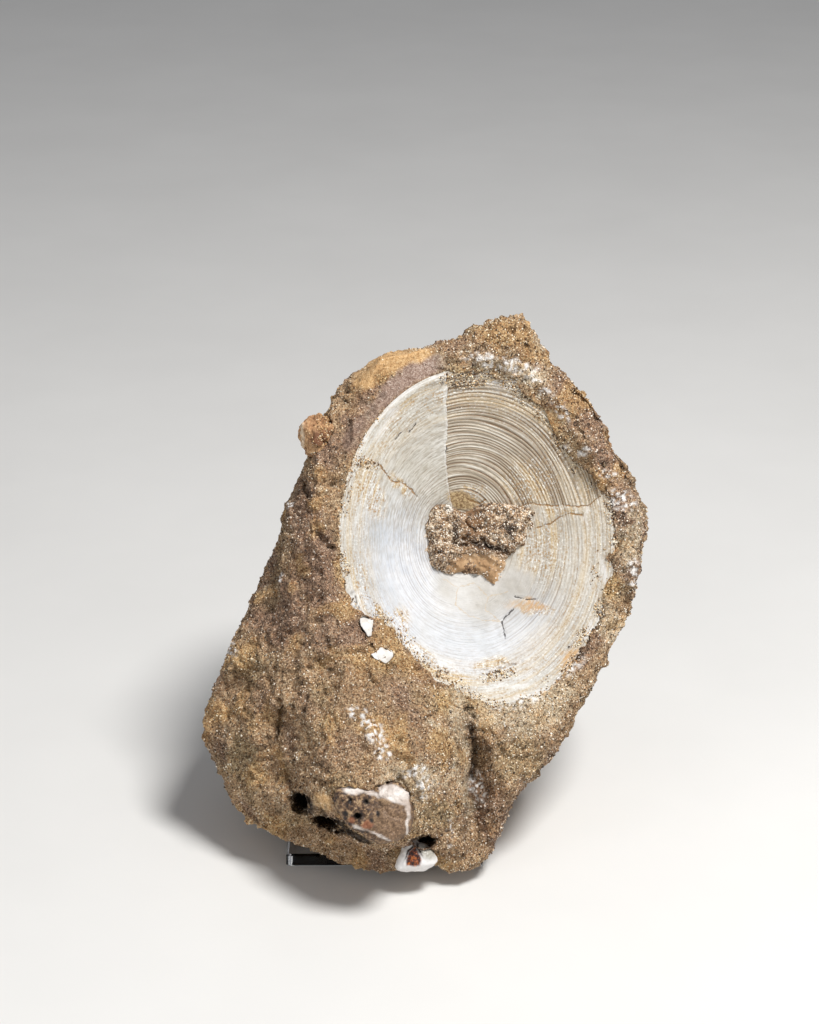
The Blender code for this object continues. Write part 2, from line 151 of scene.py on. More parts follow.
def patch(spot, across, up, half_width, half_height, turn=0.0, edge=0.35):
    """1 inside an ellipse, 0 outside, with a soft edge, by the first two numbers of each spot."""
    turn = math.radians(turn)
    x, y = spot[:, 0] - across, spot[:, 1] - up
    along = (x * math.cos(turn) + y * math.sin(turn)) / half_width
    beside = (y * math.cos(turn) - x * math.sin(turn)) / half_height
    return 1 - smooth_step(1 - edge, 1 + edge, np.hypot(along, beside))


def facet(spot, corners, edge=0.25):
    """1 inside a convex outline given anticlockwise, 0 outside, with a soft edge."""
    depth = np.full(len(spot), 1e9)
    for start, end in zip(corners, corners[1:] + corners[:1]):
        across, up = end[0] - start[0], end[1] - start[1]
        side = across * (spot[:, 1] - start[1]) - up * (spot[:, 0] - start[0])
        depth = np.minimum(depth, side / math.hypot(across, up))
    return smooth_step(-edge, edge, depth)


def patches(spot, *shapes):
    """The strongest of several patches at each spot. Each is an ellipse's numbers or a convex outline."""
    drawn = [facet(spot, shape) if isinstance(shape[0], tuple) else patch(spot, *shape) for shape in shapes]
    return np.max(drawn, axis=0)


def off_line(spot, line):
    """How far each point is from a line through the given places."""
    spot = spot[:, :2]
    nearest = np.full(len(spot), 1e9)
    for start, end in zip(line, line[1:]):
        start, end = np.array(start, float), np.array(end, float)
        along = end - start
        share = np.clip((spot - start) @ along / (along @ along), 0.0, 1.0)
        nearest = np.minimum(nearest, np.linalg.norm(spot - start - share[:, None] * along, axis=1))
    return nearest


def stroke(spot, half_width, line):
    return 1 - smooth_step(0.4 * half_width, 1.6 * half_width, off_line(spot, line))


def depth_inside(spot, loop):
    """How far inside a closed outline each point is, below 0 outside it."""
    inside = np.zeros(len(spot), bool)
    for start, end in zip(loop, loop[1:] + loop[:1]):
        rising = (start[1] > spot[:, 1]) != (end[1] > spot[:, 1])
        crossing = start[0] + (spot[:, 1] - start[1]) * (end[0] - start[0]) / (end[1] - start[1] + 1e-9)
        inside ^= rising & (spot[:, 0] < crossing)
    return off_line(spot, loop + loop[:1]) * np.where(inside, 1.0, -1.0)


def hollow_level(share):
    return -HOLLOW_DEPTH * (1 - np.minimum(share, 1.0) ** HOLLOW_POWER)


def on_disc(share, turn):
    """The places on the vertebra's face at a share of the rim's distance and at an angle."""
    share = np.asarray(share)[..., None]
    rim = np.stack([HALF_WIDTH * np.cos(turn), HALF_HEIGHT * np.sin(turn)], -1)
    return rim * share + HOLLOW_SHIFT * (1 - share)


def share_and_turn(disc):
    """The share of the rim's distance and the angle at which points in the disc's frame lie."""
    share = np.full(len(disc), 0.5)
    for _ in range(12):
        off = (disc[:, :2] - HOLLOW_SHIFT * (1 - share)[:, None]) / (HALF_WIDTH, HALF_HEIGHT)
        share = np.hypot(off[:, 0], off[:, 1])
    return share, np.arctan2(off[:, 1], off[:, 0])


# ---------------------------------------------------------------- meshes


def mesh_from(name, verts, faces, smooth=True):
    """A mesh from leaning-frame points, and triangles or quads."""
    mesh = bpy.data.meshes.new(name)
    sides = faces.shape[1]
    mesh.vertices.add(len(verts))
    mesh.vertices.foreach_set("co", moved(FACE, verts).astype(np.float32).ravel())
    mesh.loops.add(faces.size)
    mesh.loops.foreach_set("vertex_index", faces.astype(np.int32).ravel())
    mesh.polygons.add(len(faces))
    mesh.polygons.foreach_set("loop_start", np.arange(0, faces.size, sides, dtype=np.int32))
    mesh.update(calc_edges=True)
    mesh.validate()
    if smooth:
        mesh.shade_smooth()
    return mesh


def add_object(name, data):
    made = bpy.data.objects.new(name, data)
    bpy.context.scene.collection.objects.link(made)
    return made


def add_piece(name, mesh, slot, material, *nodes):
    piece = add_object(name, mesh)
    mesh.materials.clear()
    mesh.materials.append(material)
    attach(piece, "root")
    if nodes:
        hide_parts(*nodes)
    return piece


def evaluated(piece):
    """The piece's mesh after its modifiers."""
    bpy.context.view_layer.update()
    return bpy.data.meshes.new_from_object(piece.evaluated_get(bpy.context.evaluated_depsgraph_get()))


def remeshed(node, voxel):
    """The CAD node's mesh, welded and remeshed to even quads."""
    shape = bmesh.new()
    shape.from_mesh(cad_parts[node].data)
    bmesh.ops.remove_doubles(shape, verts=shape.verts, dist=1e-6)
    mesh = bpy.data.meshes.new(node + "_fine")
    shape.to_mesh(mesh)
    shape.free()
    holder = add_object(node + "_fine", mesh)
    step = holder.modifiers.new("fine", "REMESH")
    step.mode = "VOXEL"
    step.voxel_size = voxel * MM
    fine = evaluated(holder)
    bpy.data.objects.remove(holder)
    return fine


def read(items, name, width, kind=np.float32):
    """A row of so many values for each of a mesh's items."""
    values = np.empty(len(items) * width, kind)
    items.foreach_get(name, values)
    return values.reshape(-1, width)


def points_of(mesh):
    """The mesh's points in the leaning frame."""
    return moved(FACE_BACK, read(mesh.vertices, "co", 3).astype(float))


def normals_of(mesh):
    return turned(FACE_BACK, read(mesh.vertex_normals, "vector", 3).astype(float))


def triangles_of(mesh):
    mesh.calc_loop_triangles()
    return read(mesh.loop_triangles, "vertices", 3, np.int32)


def set_points(mesh, points):
    mesh.vertices.foreach_set("co", moved(FACE, points).astype(np.float32).ravel())
    mesh.update()


def relaxed(mesh, points, rounds):
    """The points after each has moved halfway to the middle of its neighbours, a few times."""
    ends = read(mesh.edges, "vertices", 2, np.int32)
    near, far = np.concatenate([ends, ends[:, ::-1]]).T
    count = np.bincount(near, minlength=len(points))[:, None]
    for _ in range(rounds):
        total = [np.bincount(near, points[far, axis], len(points)) for axis in range(3)]
        points = mixed(points, np.stack(total, 1) / count, 0.5)
    return points


def set_value(mesh, name, values):
    layer = mesh.attributes.new(name, "FLOAT", "POINT")
    layer.data.foreach_set("value", values.astype(np.float32))


# ---------------------------------------------------------------- materials


def linear(red, green, blue):
    """A colour as 0 to 255 screen values, turned into the shader's linear values."""
    scaled = [value / 255 for value in (red, green, blue)]
    return tuple(v / 12.92 if v <= 0.04045 else ((v + 0.055) / 1.055) ** 2.4 for v in scaled) + (1.0,)


class Shader:
    """Builds one material's nodes. Most calls return the new node's output socket.

    An input takes a socket, a value, the name of one of the mesh's values, or a colour as screen values.
    """

    def __init__(self, name, **fixed):
        self.material = bpy.data.materials.new(name)
        self.material.use_nodes = True
        self.tree = self.material.node_tree
        self.surface = self.tree.nodes["Principled BSDF"]
        for socket, value in fixed.items():
            self.surface.inputs[socket.replace("_", " ")].default_value = value

    def join(self, value, socket):
        if isinstance(value, str):
            value = self.value(value)
        if isinstance(value, bpy.types.NodeSocket):
            self.tree.links.new(value, socket)
        elif socket.type == "RGBA" and len(value) == 3:
            socket.default_value = linear(*value)
        else:
            socket.default_value = value

    def node(self, kind, inputs, output=0, **settings):
        """A new node, whose inputs go by name or by number."""
        made = self.tree.nodes.new("ShaderNode" + kind)
        for name, value in settings.items():
            setattr(made, name, value)
        for name, value in inputs.items():
            self.join(value, made.inputs[name])
        return made.outputs[output]

    def value(self, name):
        return self.node("Attribute", {}, 2, attribute_name=name)

    def vector(self, name):
        return self.node("Attribute", {}, 1, attribute_name=name)

    def place(self):
        return self.node("TexCoord", {}, 3)

    def noise(self, size, detail=4.0, roughness=0.6):
        """Noise whose lumps are size millimetres across."""
        scale = 1 / (size * MM)
        inputs = {"Vector": self.place(), "Scale": scale, "Detail": detail, "Roughness": roughness}
        return self.node("TexNoise", inputs)

    def math(self, operation, a, b=0.0, clamp=False):
        return self.node("Math", {0: a, 1: b}, operation=operation, use_clamp=clamp)

    def product(self, first, *others):
        for other in others:
            first = self.math("MULTIPLY", first, other)
        return first

    def total(self, first, *others):
        for other in others:
            first = self.math("ADD", first, other)
        return first

    def range(self, value, low, high, to_low=0.0, to_high=1.0):
        return self.node("MapRange", dict(enumerate((value, low, high, to_low, to_high))), clamp=True)

    def mix(self, share, a, b, blend="MIX"):
        return self.node("Mix", {0: share, 6: a, 7: b}, 2, data_type="RGBA", blend_type=blend)

    def cover(self, base, *layers):
        """The base under layers of (share, colour), the last on top."""
        for share, colour in layers:
            base = self.mix(share, base, colour)
        return base

    def ramp(self, share, positions, colours):
        made = self.tree.nodes.new("ShaderNodeValToRGB")
        elements = made.color_ramp.elements
        while len(elements) < len(positions):
            elements.new(0.5)
        for element, position, colour in zip(elements, positions, colours):
            element.position = position
            element.color = linear(*colour)
        self.join(share, made.inputs[0])
        return made.outputs[0]

    def vectors(self, operation, *values, output=0):
        return self.node("VectorMath", dict(enumerate(values)), output, operation=operation)

    def warped(self, spot, size, amount):
        """The vector spot, in millimetres, pushed about by noise."""
        push = self.node("TexNoise", {"Vector": self.place(), "Scale": 1 / (size * MM), "Detail": 2.0}, 1)
        push = self.vectors("SUBTRACT", push, (0.5, 0.5, 0.5))
        return self.vectors("MULTIPLY_ADD", push, (2 * amount, 2 * amount, 0.0), spot)

    def off_path(self, spot, start, end):
        """How far the vector spot is from a straight path."""
        along = end - start
        away = self.vectors("SUBTRACT", spot, tuple(start))
        share = self.vectors("DOT_PRODUCT", away, tuple(along / along.length_squared), output=1)
        share = self.math("ADD", share, 0.0, clamp=True)
        nearest = self.node("VectorMath", {0: tuple(along), "Scale": share}, operation="SCALE")
        return self.vectors("LENGTH", self.vectors("SUBTRACT", away, nearest), output=1)

    def lines(self, spot, half_width, ragged, paths):
        """1 on any of the paths, 0 away from them, with a width that varies."""
        nearest = None
        for path in paths:
            corners = [Vector((*corner, 0.0)) for corner in path]
            for start, end in zip(corners, corners[1:]):
                distance = self.off_path(spot, start, end)
                nearest = distance if nearest is None else self.math("MINIMUM", nearest, distance)
        nearest = self.total(nearest, self.range(self.noise(0.7, 2.0), 0.35, 0.65, -ragged, ragged))
        return self.range(nearest, 1.5 * half_width, 0.5 * half_width)

    def bump(self, height, distance, strength, normal=None):
        inputs = {"Height": height, "Distance": distance * MM, "Strength": strength}
        if normal:
            inputs["Normal"] = normal
        return self.node("Bump", inputs)

    def finish(self, colour, roughness, normal=None):
        self.join(colour, self.surface.inputs["Base Color"])
        self.join(roughness, self.surface.inputs["Roughness"])
        if normal:
            self.join(normal, self.surface.inputs["Normal"])
        return self.material


# The colours of the plain rock and of each region, as (tones from dark to bright, screen colours).
STOPS = (0, 0.35, 0.65, 0.9, 1)
TONES = {
    "plain": (
        (0, 0.3, 0.6, 0.88, 1),
        ((58, 40, 27), (118, 91, 64), (168, 139, 106), (208, 183, 147), (250, 241, 224)),
    ),
    "plum": (STOPS, ((46, 32, 26), (102, 77, 61), (152, 122, 99), (194, 168, 144), (242, 228, 212))),
    "olive": (STOPS, ((46, 37, 23), (112, 94, 65), (164, 143, 105), (208, 189, 147), (246, 236, 210))),
    "pale": (STOPS, ((78, 62, 45), (156, 135, 107), (205, 187, 158), (234, 220, 196), (252, 247, 236))),
    "ochre": (STOPS, ((80, 54, 28), (152, 115, 70), (196, 160, 106), (228, 200, 150), (248, 234, 202))),
    "tan": (STOPS, ((150, 108, 66), (192, 150, 100), (214, 176, 126), (230, 200, 156), (244, 226, 194))),
    "mauve": ((0, 0.5, 1), ((104, 80, 66), (150, 126, 111), (200, 184, 172))),
    "white": ((0, 0.4, 1), ((190, 182, 174), (232, 228, 223), (254, 253, 251))),
}
UNDER_TINT = ("plum", "olive", "pale", "ochre")
OVER_TINT = ("tan", "mauve", "white")
WARM_TINT = (1, 0.76, 0.52, 1)
COOL_TINT = (0.84, 0.92, 1, 1)


def rock_colour(make, tone):
    hue = make.noise(0.55, 2.0, 0.7)
    ramps = {region: make.ramp(tone, *stops) for region, stops in TONES.items()}
    base = make.cover(ramps["plain"], *[(region, ramps[region]) for region in UNDER_TINT])
    base = make.mix(make.range(hue, 0.54, 0.64, 0.0, 0.75), base, WARM_TINT, "MULTIPLY")
    base = make.mix(make.range(hue, 0.46, 0.38, 0.0, 0.6), base, COOL_TINT, "MULTIPLY")
    base = make.cover(base, *[(region, ramps[region]) for region in OVER_TINT])
    # Painted shade: near black where the caves, slits and pits would lie in shadow.
    return make.mix("painted_shade_and_specks", base, (22, 13, 8))


def rock_material():
    make = Shader("sandy_rock")
    broad, fine, speck = make.noise(7.0, 5.0), make.noise(0.6, 3.0, 0.7), make.noise(0.3, 2.0, 0.8)
    tone = make.total(make.product(fine, 1.1), make.product(speck, 0.9), make.product(broad, 0.5))
    colour = rock_colour(make, make.range(tone, 0.84, 1.68))
    relief = make.bump(speck, 0.18, 0.7, make.bump(fine, 0.3, 0.7))
    return make.finish(colour, make.range(fine, 0.3, 0.7, 0.95, 0.65), relief)


def grain_material():
    make = Shader("sand_grains", Specular_IOR_Level=0.55)
    tint = make.noise(0.4, 2.0)
    tone = make.math("ADD", "tone", make.range(tint, 0.3, 0.7, -0.12, 0.12), clamp=True)
    roughness = make.range("tone", 0.0, 1.0, 0.8, 0.35)
    return make.finish(rock_colour(make, tone), roughness, make.bump(tint, 0.05, 0.4))


def bone_material():
    make = Shader("ringed_bone")
    share, turn_x, turn_y = make.value("share"), make.value("turn_x"), make.value("turn_y")

    def rings(count, turning, detail=1.0):
        """Noise drawn out along the growth rings: count lines to the radius, longer for a lower turning."""
        x, y, z = [make.product(*pair) for pair in ((share, count), (turn_x, turning), (turn_y, turning))]
        spot = make.node("CombineXYZ", {"X": x, "Y": y, "Z": z})
        return make.node("TexNoise", {"Vector": spot, "Scale": 1.0, "Detail": detail, "Roughness": 0.6})

    thin, thick, wide = rings(150.0, 1.4), rings(44.0, 1.0), rings(20.0, 0.8, 2.0)
    streaks = rings(100.0, 12.0)
    cloud, grit = make.noise(8.0, 4.0), make.noise(0.45, 3.0, 0.7)

    # The bone's own colours, and the growth rings in them.
    clouded = make.range(cloud, 0.38, 0.62)
    low_blue = make.mix(make.range(turn_y, -0.3, -0.8), (172, 179, 188), (186, 188, 190))
    cream = make.mix(clouded, (184, 179, 168), (202, 199, 191))
    cool = make.mix(clouded, low_blue, (203, 204, 207))
    brown = make.mix(make.range(wide, 0.42, 0.58), (142, 127, 105), (182, 171, 153))
    streaked = make.product(make.range(streaks, 0.46, 0.62), make.range(turn_y, -0.3, 0.4, 0.15, 0.5))
    ridge = make.math("ABSOLUTE", make.math("SINE", make.product("phase", math.pi)))
    groove = make.product(make.range(ridge, 0.6, 0.12), make.range(thick, 0.42, 0.58, 0.08, 1.0), "lines")
    crest = make.product(make.range(ridge, 0.75, 1.0), make.range(thick, 0.56, 0.40), "lines")
    hair = make.product(make.range(thin, 0.48, 0.36), "lines")
    base = make.cover(
        cream,
        ("cool", cool),
        ("brown", brown),
        (streaked, (146, 135, 118)),
        (make.product(crest, 0.75), (222, 218, 208)),
        (make.product(hair, 0.55), (134, 114, 86)),
        (make.product(groove, 0.95), make.mix(wide, (86, 64, 43), (138, 99, 62))),
    )

    # Stains, flecks and patches on the bone.
    stain = make.product(make.range(wide, 0.45, 0.58), "ochre", make.range(thin, 0.38, 0.6, 0.2, 0.85))
    flecks = make.product(make.range(grit, 0.5, 0.6), "ochre", make.range(streaks, 0.44, 0.56, 0.1, 1.0))
    flaked = make.product(make.range(grit, 0.46, 0.38), "ochre", make.range(streaks, 0.58, 0.46, 0.2, 1.0))
    clay = make.product("orange", make.range(streaks, 0.36, 0.56, 0.15, 0.9))
    # Painted highlight on the rim's edge and the upright crack's raised edge, together with pale patches.
    highlight_and_pale = make.product("highlight_and_pale", make.range(streaks, 0.4, 0.58, 0.1, 1.0))
    base = make.cover(
        base,
        (stain, (190, 168, 130)),
        (make.product(flecks, 0.9), (158, 126, 84)),
        (make.product(flaked, 0.8), (226, 223, 216)),
        ("olive", make.mix(make.range(grit, 0.4, 0.6), (112, 86, 54), (180, 156, 116))),
        (clay, make.mix(thick, (172, 128, 78), (204, 166, 118))),
        ("chalk", make.mix(make.range(cloud, 0.35, 0.65), (166, 160, 150), (194, 191, 186))),
        (make.product(highlight_and_pale, 0.8), (218, 216, 213)),
        ("rind", make.mix(grit, (136, 104, 82), (190, 164, 144))),
    )

    # The cracks. Open cracks are painted near black, painted shade inside them; the last layer adds dark
    # specks and a painted shadow line along the foot of the upright crack.
    spot = make.warped(make.warped(make.vector("spot"), 2.4, 0.5), 0.6, 0.25)
    faint = make.lines(spot, 0.08, 0.06, FAINT_CRACKS)
    filled = make.lines(spot, 0.12, 0.12, FILLED_CRACKS)
    open_cracks = make.lines(spot, 0.09, 0.06, OPEN_CRACKS)
    base = make.cover(
        base,
        (make.product(faint, 0.5), (182, 156, 118)),
        (make.product(filled, 0.9), make.mix(grit, (96, 66, 38), (176, 134, 80))),
        (make.product(open_cracks, 0.85), (50, 42, 40)),
        ("painted_shade_and_specks", (66, 52, 40)),
    )
    relief = make.total(make.product(make.math("SUBTRACT", thin, groove), 0.5), make.product(grit, 0.3))
    relief = make.math("SUBTRACT", relief, make.total(filled, open_cracks))
    return make.finish(base, make.range(cloud, 0.3, 0.7, 0.5, 0.75), make.bump(relief, 0.22, 0.8))


def plug_material():
    make = Shader("crumbly_rock")
    fine, clump, broad = make.noise(0.6, 3.0, 0.7), make.noise(2.2, 3.0), make.noise(4.0, 3.0)
    tone = make.total(make.product(fine, 0.6), make.product(clump, 0.4))
    colours = ((52, 34, 21), (122, 92, 64), (182, 152, 118), (240, 228, 208))
    base = make.cover(
        make.ramp(tone, (0.38, 0.46, 0.53, 0.62), colours),
        ("clay", make.mix(make.range(broad, 0.35, 0.65), (150, 116, 80), (196, 164, 126))),
        ("umber", make.mix(clump, (90, 60, 36), (158, 124, 90))),
        ("white", (222, 216, 206)),
        # Painted shade in the gaps between the lumps.
        ("painted_shade_and_specks", (48, 30, 18)),
    )
    return make.finish(base, 0.85, make.bump(fine, 0.3, 0.8))


def spongy_material():
    make = Shader("spongy_bone")
    fine, broad, grain = make.noise(0.9, 3.0, 0.65), make.noise(3.0, 3.0), make.noise(0.35, 2.0)
    base = make.cover(
        make.ramp(fine, (0.38, 0.5, 0.62), ((38, 24, 16), (94, 68, 46), (160, 132, 98))),
        ("dense", make.mix(make.range(grain, 0.35, 0.65), (88, 64, 45), (142, 114, 86))),
        (make.product("clay", 0.7), (140, 84, 54)),
        ("white", make.mix(make.range(broad, 0.35, 0.65), (180, 164, 152), (224, 216, 208))),
        # Painted shade in the pores.
        ("painted_shade_and_specks", (20, 11, 6)),
    )
    return make.finish(base, 0.6, make.bump(fine, 0.25, 0.7))


def tooth_material():
    make = Shader("enamel_and_core")
    fine, broad = make.noise(0.5, 3.0), make.noise(2.0, 3.0)
    base = make.cover(
        make.mix(broad, (206, 202, 198), (240, 238, 236)),
        ("grey", make.mix(fine, (140, 134, 122), (190, 186, 176))),
        ("clay", make.ramp(fine, (0.38, 0.5, 0.66), ((28, 9, 5), (86, 32, 12), (172, 98, 42)))),
        # Painted shade in the grooves between the blades and the core.
        ("painted_shade_and_specks", (40, 20, 12)),
    )
    return make.finish(base, 0.35, make.bump(fine, 0.1, 0.5))


def nodule_material():
    make = Shader("orange_clay")
    fine, broad = make.noise(0.6, 3.0, 0.7), make.noise(3.0, 4.0, 0.7)
    tone = make.total(make.product(broad, 0.7), make.product(fine, 0.3))
    base = make.cover(
        make.ramp(tone, (0.36, 0.5, 0.62), ((104, 70, 44), (164, 122, 84), (210, 172, 128))),
        ("umber", make.mix(fine, (78, 44, 26), (134, 90, 58))),
        ("white", (214, 192, 164)),
    )
    return make.finish(base, 0.7, make.bump(fine, 0.2, 0.7))


def flake_material():
    make = Shader("rim_bone")
    fine, broad = make.noise(0.4, 3.0, 0.7), make.noise(1.6, 3.0)
    base = make.mix(make.range(broad, 0.35, 0.65), (196, 190, 182), (218, 216, 213))
    base = make.cover(base, (make.range(fine, 0.58, 0.7, 0.0, 0.7), (170, 150, 122)))
    return make.finish(base, 0.6, make.bump(fine, 0.12, 0.6))


def acrylic_material():
    make = Shader("clear_acrylic", Transmission_Weight=1.0, IOR=1.49)
    scuffs = make.noise(0.8, 4.0, 0.7)
    return make.finish((0.98, 0.99, 1.0, 1.0), make.range(scuffs, 0.45, 0.7, 0.0, 0.12))


def floor_material():
    make = Shader("pale_floor")
    base = make.mix(make.noise(60.0, 3.0), (214, 212, 208), (224, 222, 218))
    return make.finish(base, 0.8, make.bump(make.noise(1.2, 2.0), 0.05, 0.3))


# ---------------------------------------------------------------- the rock

ROCK_VOXEL = 0.45
ROCK_TRIANGLES = 168000

# The edge of the rock that laps over the vertebra's rim, about the vertebra's middle: (across, up).
WINDOW = (
    (28.9, 5.7), (28.5, -0.8), (26.7, -6.6), (25.8, -13.7), (22.8, -20.5), (17.8, -28.7), (11.5, -33.2),
    (4.7, -34.9), (-2.3, -32.4), (-10, -28.1), (-15, -22.3), (-18.9, -16.6), (-25.4, -13.1),
    (-29.9, -8.4), (-30.4, 1), (-29.4, 9.2), (-27, 17.2), (-22.8, 25.9), (-16.4, 32.3), (-8.4, 36.4),
    (-0.8, 35), (7, 32.6), (13.7, 27.9), (18, 19.3), (22.8, 13.3), (27.3, 8.2),
)
# The rim's upper left stands bare of sand over the first bands of degrees round it, and its edge gets a
# painted highlight over the second.
BARE_RIM = (97, 105, 144, 154)
RIM_HIGHLIGHT = (97, 105, 140, 156)

# The sandy surface: its lumps as (height, size, seed), and the height of other relief.
SAND_LUMPS = ((1.3, 6.5, 11), (1.2, 3, 21))
CRUMB_HEIGHT = 0.3
PIT_DEPTH = 1.1
PEAK_CUT = 0.9
FACET_HEIGHT = 0.9
UNDER_FLAKES = -1.0
CRUST_THICKNESS = 2.2

# Grooves and slits in the rock's face, and one low ridge: (half width, depth, line of (across, up)).
GROOVES = (
    (0.6, 1.6, ((-21.6, 70.6), (-20.4, 68.6), (-18.8, 67.4))),
    (0.4, 1.6, ((-29.2, 34.8), (-29.5, 32.6), (-30, 30.6), (-30.3, 28.2))),
    (0.5, 0.8, ((-28.4, 23.4), (-28, 20), (-26.6, 17.4))),
    (0.6, 1.6, ((9.4, 30.6), (10.4, 27.4), (10.3, 24), (9.2, 20))),
    (0.9, 0.8, ((9.2, 20), (8.8, 14), (8.2, 9.4))),
    (0.5, 1.4, ((-24.6, 81), (-23.6, 77.4))),
    (0.6, 1, ((-15.4, 93), (-15.8, 89.2), (-16.6, 85.4))),
)
RIDGE_LINE = ((0.8, 32.4), (4.6, 29.8), (6.4, 24.6), (5.6, 21.6), (3.9, 19.3))
RIDGE = (0.6, -0.6, RIDGE_LINE)

# Caves under the bulge, each also painted near black as painted shade: (depth, (across, up, half width,
# half height, turn in degrees)). The last is a shallow dip under the bone fragment, painted as its shadow.
CAVES = (
    (4, (-24.8, 15.6, 2.6, 2, -35)),
    (4.5, (-18.9, 11.8, 3.9, 2.1, -8)),
    (3.5, (-0.3, 7.9, 2.4, 1.4, -10)),
    (1.6, (-13.6, 9.8, 3.4, 0.9, -24)),
)

# The two places left of the vertebra where its rim shows through the crust, as outlines.
RIM_FLAKES = {
    "rim_flake_upper": (
        (-13.3, 53.2), (-13.1, 51.6), (-12.3, 50.6), (-11.6, 49.4), (-10.8, 49.5), (-10.7, 51),
        (-10.5, 52.6), (-11.8, 53),
    ),
    "rim_flake_lower": (
        (-11, 45.9), (-10.2, 45), (-9, 44.5), (-8, 43.9), (-7.2, 44.4), (-6.4, 45.4), (-6.7, 46.5),
        (-8, 46.7), (-8.9, 47.3), (-10, 46.3),
    ),
}

# Coloured patches of the rock's face. A patch is (across, up, half width, half height), then perhaps its
# turn in degrees and how soft its edge is.
GOLDEN = ((-6.4, 105.6, 7, 2.3, 10), (-0.8, 106.4, 2.6, 1.4, 20), (-12.4, 102, 2.2, 2.2, 40))
BROWN_BAND = ((6.8, 33.4, 1.5, 5.6, 8), (8.6, 20, 1.1, 7, 8))
SHARDS = ((-20.4, 17, 2.2, 1.5, -30), (-17.8, 16, 1.2, 2, 20))
SMOOTH_PLACES = (*GOLDEN, *BROWN_BAND, *SHARDS)
GREYER = (19, 20, 9, 13)

# Each region's strength, how far its edge wavers, and its patches.
REGIONS = {
    "plum": (0.85, 1.6, (
        (-22.6, 66, 4.2, 16, 12), (-30, 54, 6, 9, 30), (29.6, 95.4, 3.6, 2.2, -50),
        (-15, 92, 2, 6, -25), (37, 86, 2.6, 5, 20), (41.2, 74, 1.4, 2.6),
        (-14, 51, 5, 4, 20), (-12, 98.6, 5, 1.4, 40),
    )),
    "olive": (0.55, 1.6, (
        (6, 103, 7, 1.6), (10, 36.6, 9, 3), (-38, 24, 3, 5), (2.4, 13.6, 3.4, 3.4),
        (19, 24.6, 6, 5),
    )),
    "pale": (0.85, 1.6, (
        (20, 35, 12, 3.4, 15), (18, 103.4, 8, 2, -12), (-3, 21, 6, 4),
        (23, 32.6, 7, 3, 20), (38, 51, 3, 8, 30), (41.2, 67, 1.8, 5),
        (23.6, 108.4, 0.9, 5, 24), (7.4, 33.6, 1, 4, 8), (43.6, 70, 1.4, 6),
        (7.2, 30, 1.5, 8, 8), (8.2, 18, 1, 7, 8),
    )),
    "ochre": (0.55, 1.6, (
        (-13.5, 84.6, 3.4, 1.8), (-7, 49.6, 3, 5, -40), (-16.8, 63, 1.4, 3),
        (16, 111, 6, 3), (-4, 44, 6, 2, -40),
    )),
    "tan": (1, 0.5, GOLDEN + SHARDS[:1]),
    "white": (1, 0.5, (
        (28.9, 86.6, 1.1, 1.4), (32.8, 87, 1.3, 1), (38, 82.4, 2.6, 1, -10),
        (40.4, 77, 3.2, 2.2, -20), (-29.2, 61, 1.2, 0.9), (-27.6, 76, 1, 0.8),
        (-40.6, 46, 1.8, 1.8, 40), (10.8, 17.8, 1.8, 3.4, 10), (4.9, 9.6, 0.7, 3),
        (27, 41.4, 6, 1.8, 30), (-10.6, 31.4, 3.2, 1.6, -50), (-8.6, 27, 1.8, 1.6),
        (19, 36, 5, 1.4, 15), (15.6, 105, 7.4, 1.5, -10), (-0.4, 19.6, 1.6, 2.4),
        (-13.6, 34.6, 2.4, 1.2), (43, 62, 1.4, 3), (-2.4, 23, 3, 1, 20),
        (23.4, 100.6, 3.4, 1.1, -38), (28, 95.6, 1.1, 2.8, 30),
    )),
}
# Colour scattered over the whole rock: (region, strength, noise where it starts and is full, size, seed).
SCATTERED = (
    ("plum", 0.75, 0, 0.5, 9, 65),
    ("ochre", 0.6, 0.05, 0.5, 6, 66),
    ("olive", 0.4, 0.1, 0.6, 8, 67),
)


def on_flakes(points):
    depths = [depth_inside(points, loop) for loop in RIM_FLAKES.values()]
    return smooth_step(-0.3, 0.3, np.max(depths, axis=0))


def window_reach(points):
    """How far each point lies beyond the window's edge, measured from the vertebra's middle."""
    beside = points[:, :2] - VERTEBRA_AT[:2]
    spokes = np.array(WINDOW)
    angles = np.arctan2(spokes[:, 1], spokes[:, 0])
    order = np.argsort(angles)
    lengths = np.hypot(spokes[:, 0], spokes[:, 1])[order]
    angle = np.arctan2(beside[:, 1], beside[:, 0])
    return np.hypot(beside[:, 0], beside[:, 1]) - np.interp(angle, angles[order], lengths, period=math.tau)


def beside_rim(points):
    """The disc-frame points, how far each lies outside the rim, and 1 where the rim stands bare of sand."""
    disc = moved(DISC_BACK, points)
    share, turn = share_and_turn(disc)
    return disc, (share - 1) * HALF_WIDTH, band(*BARE_RIM, np.degrees(turn))


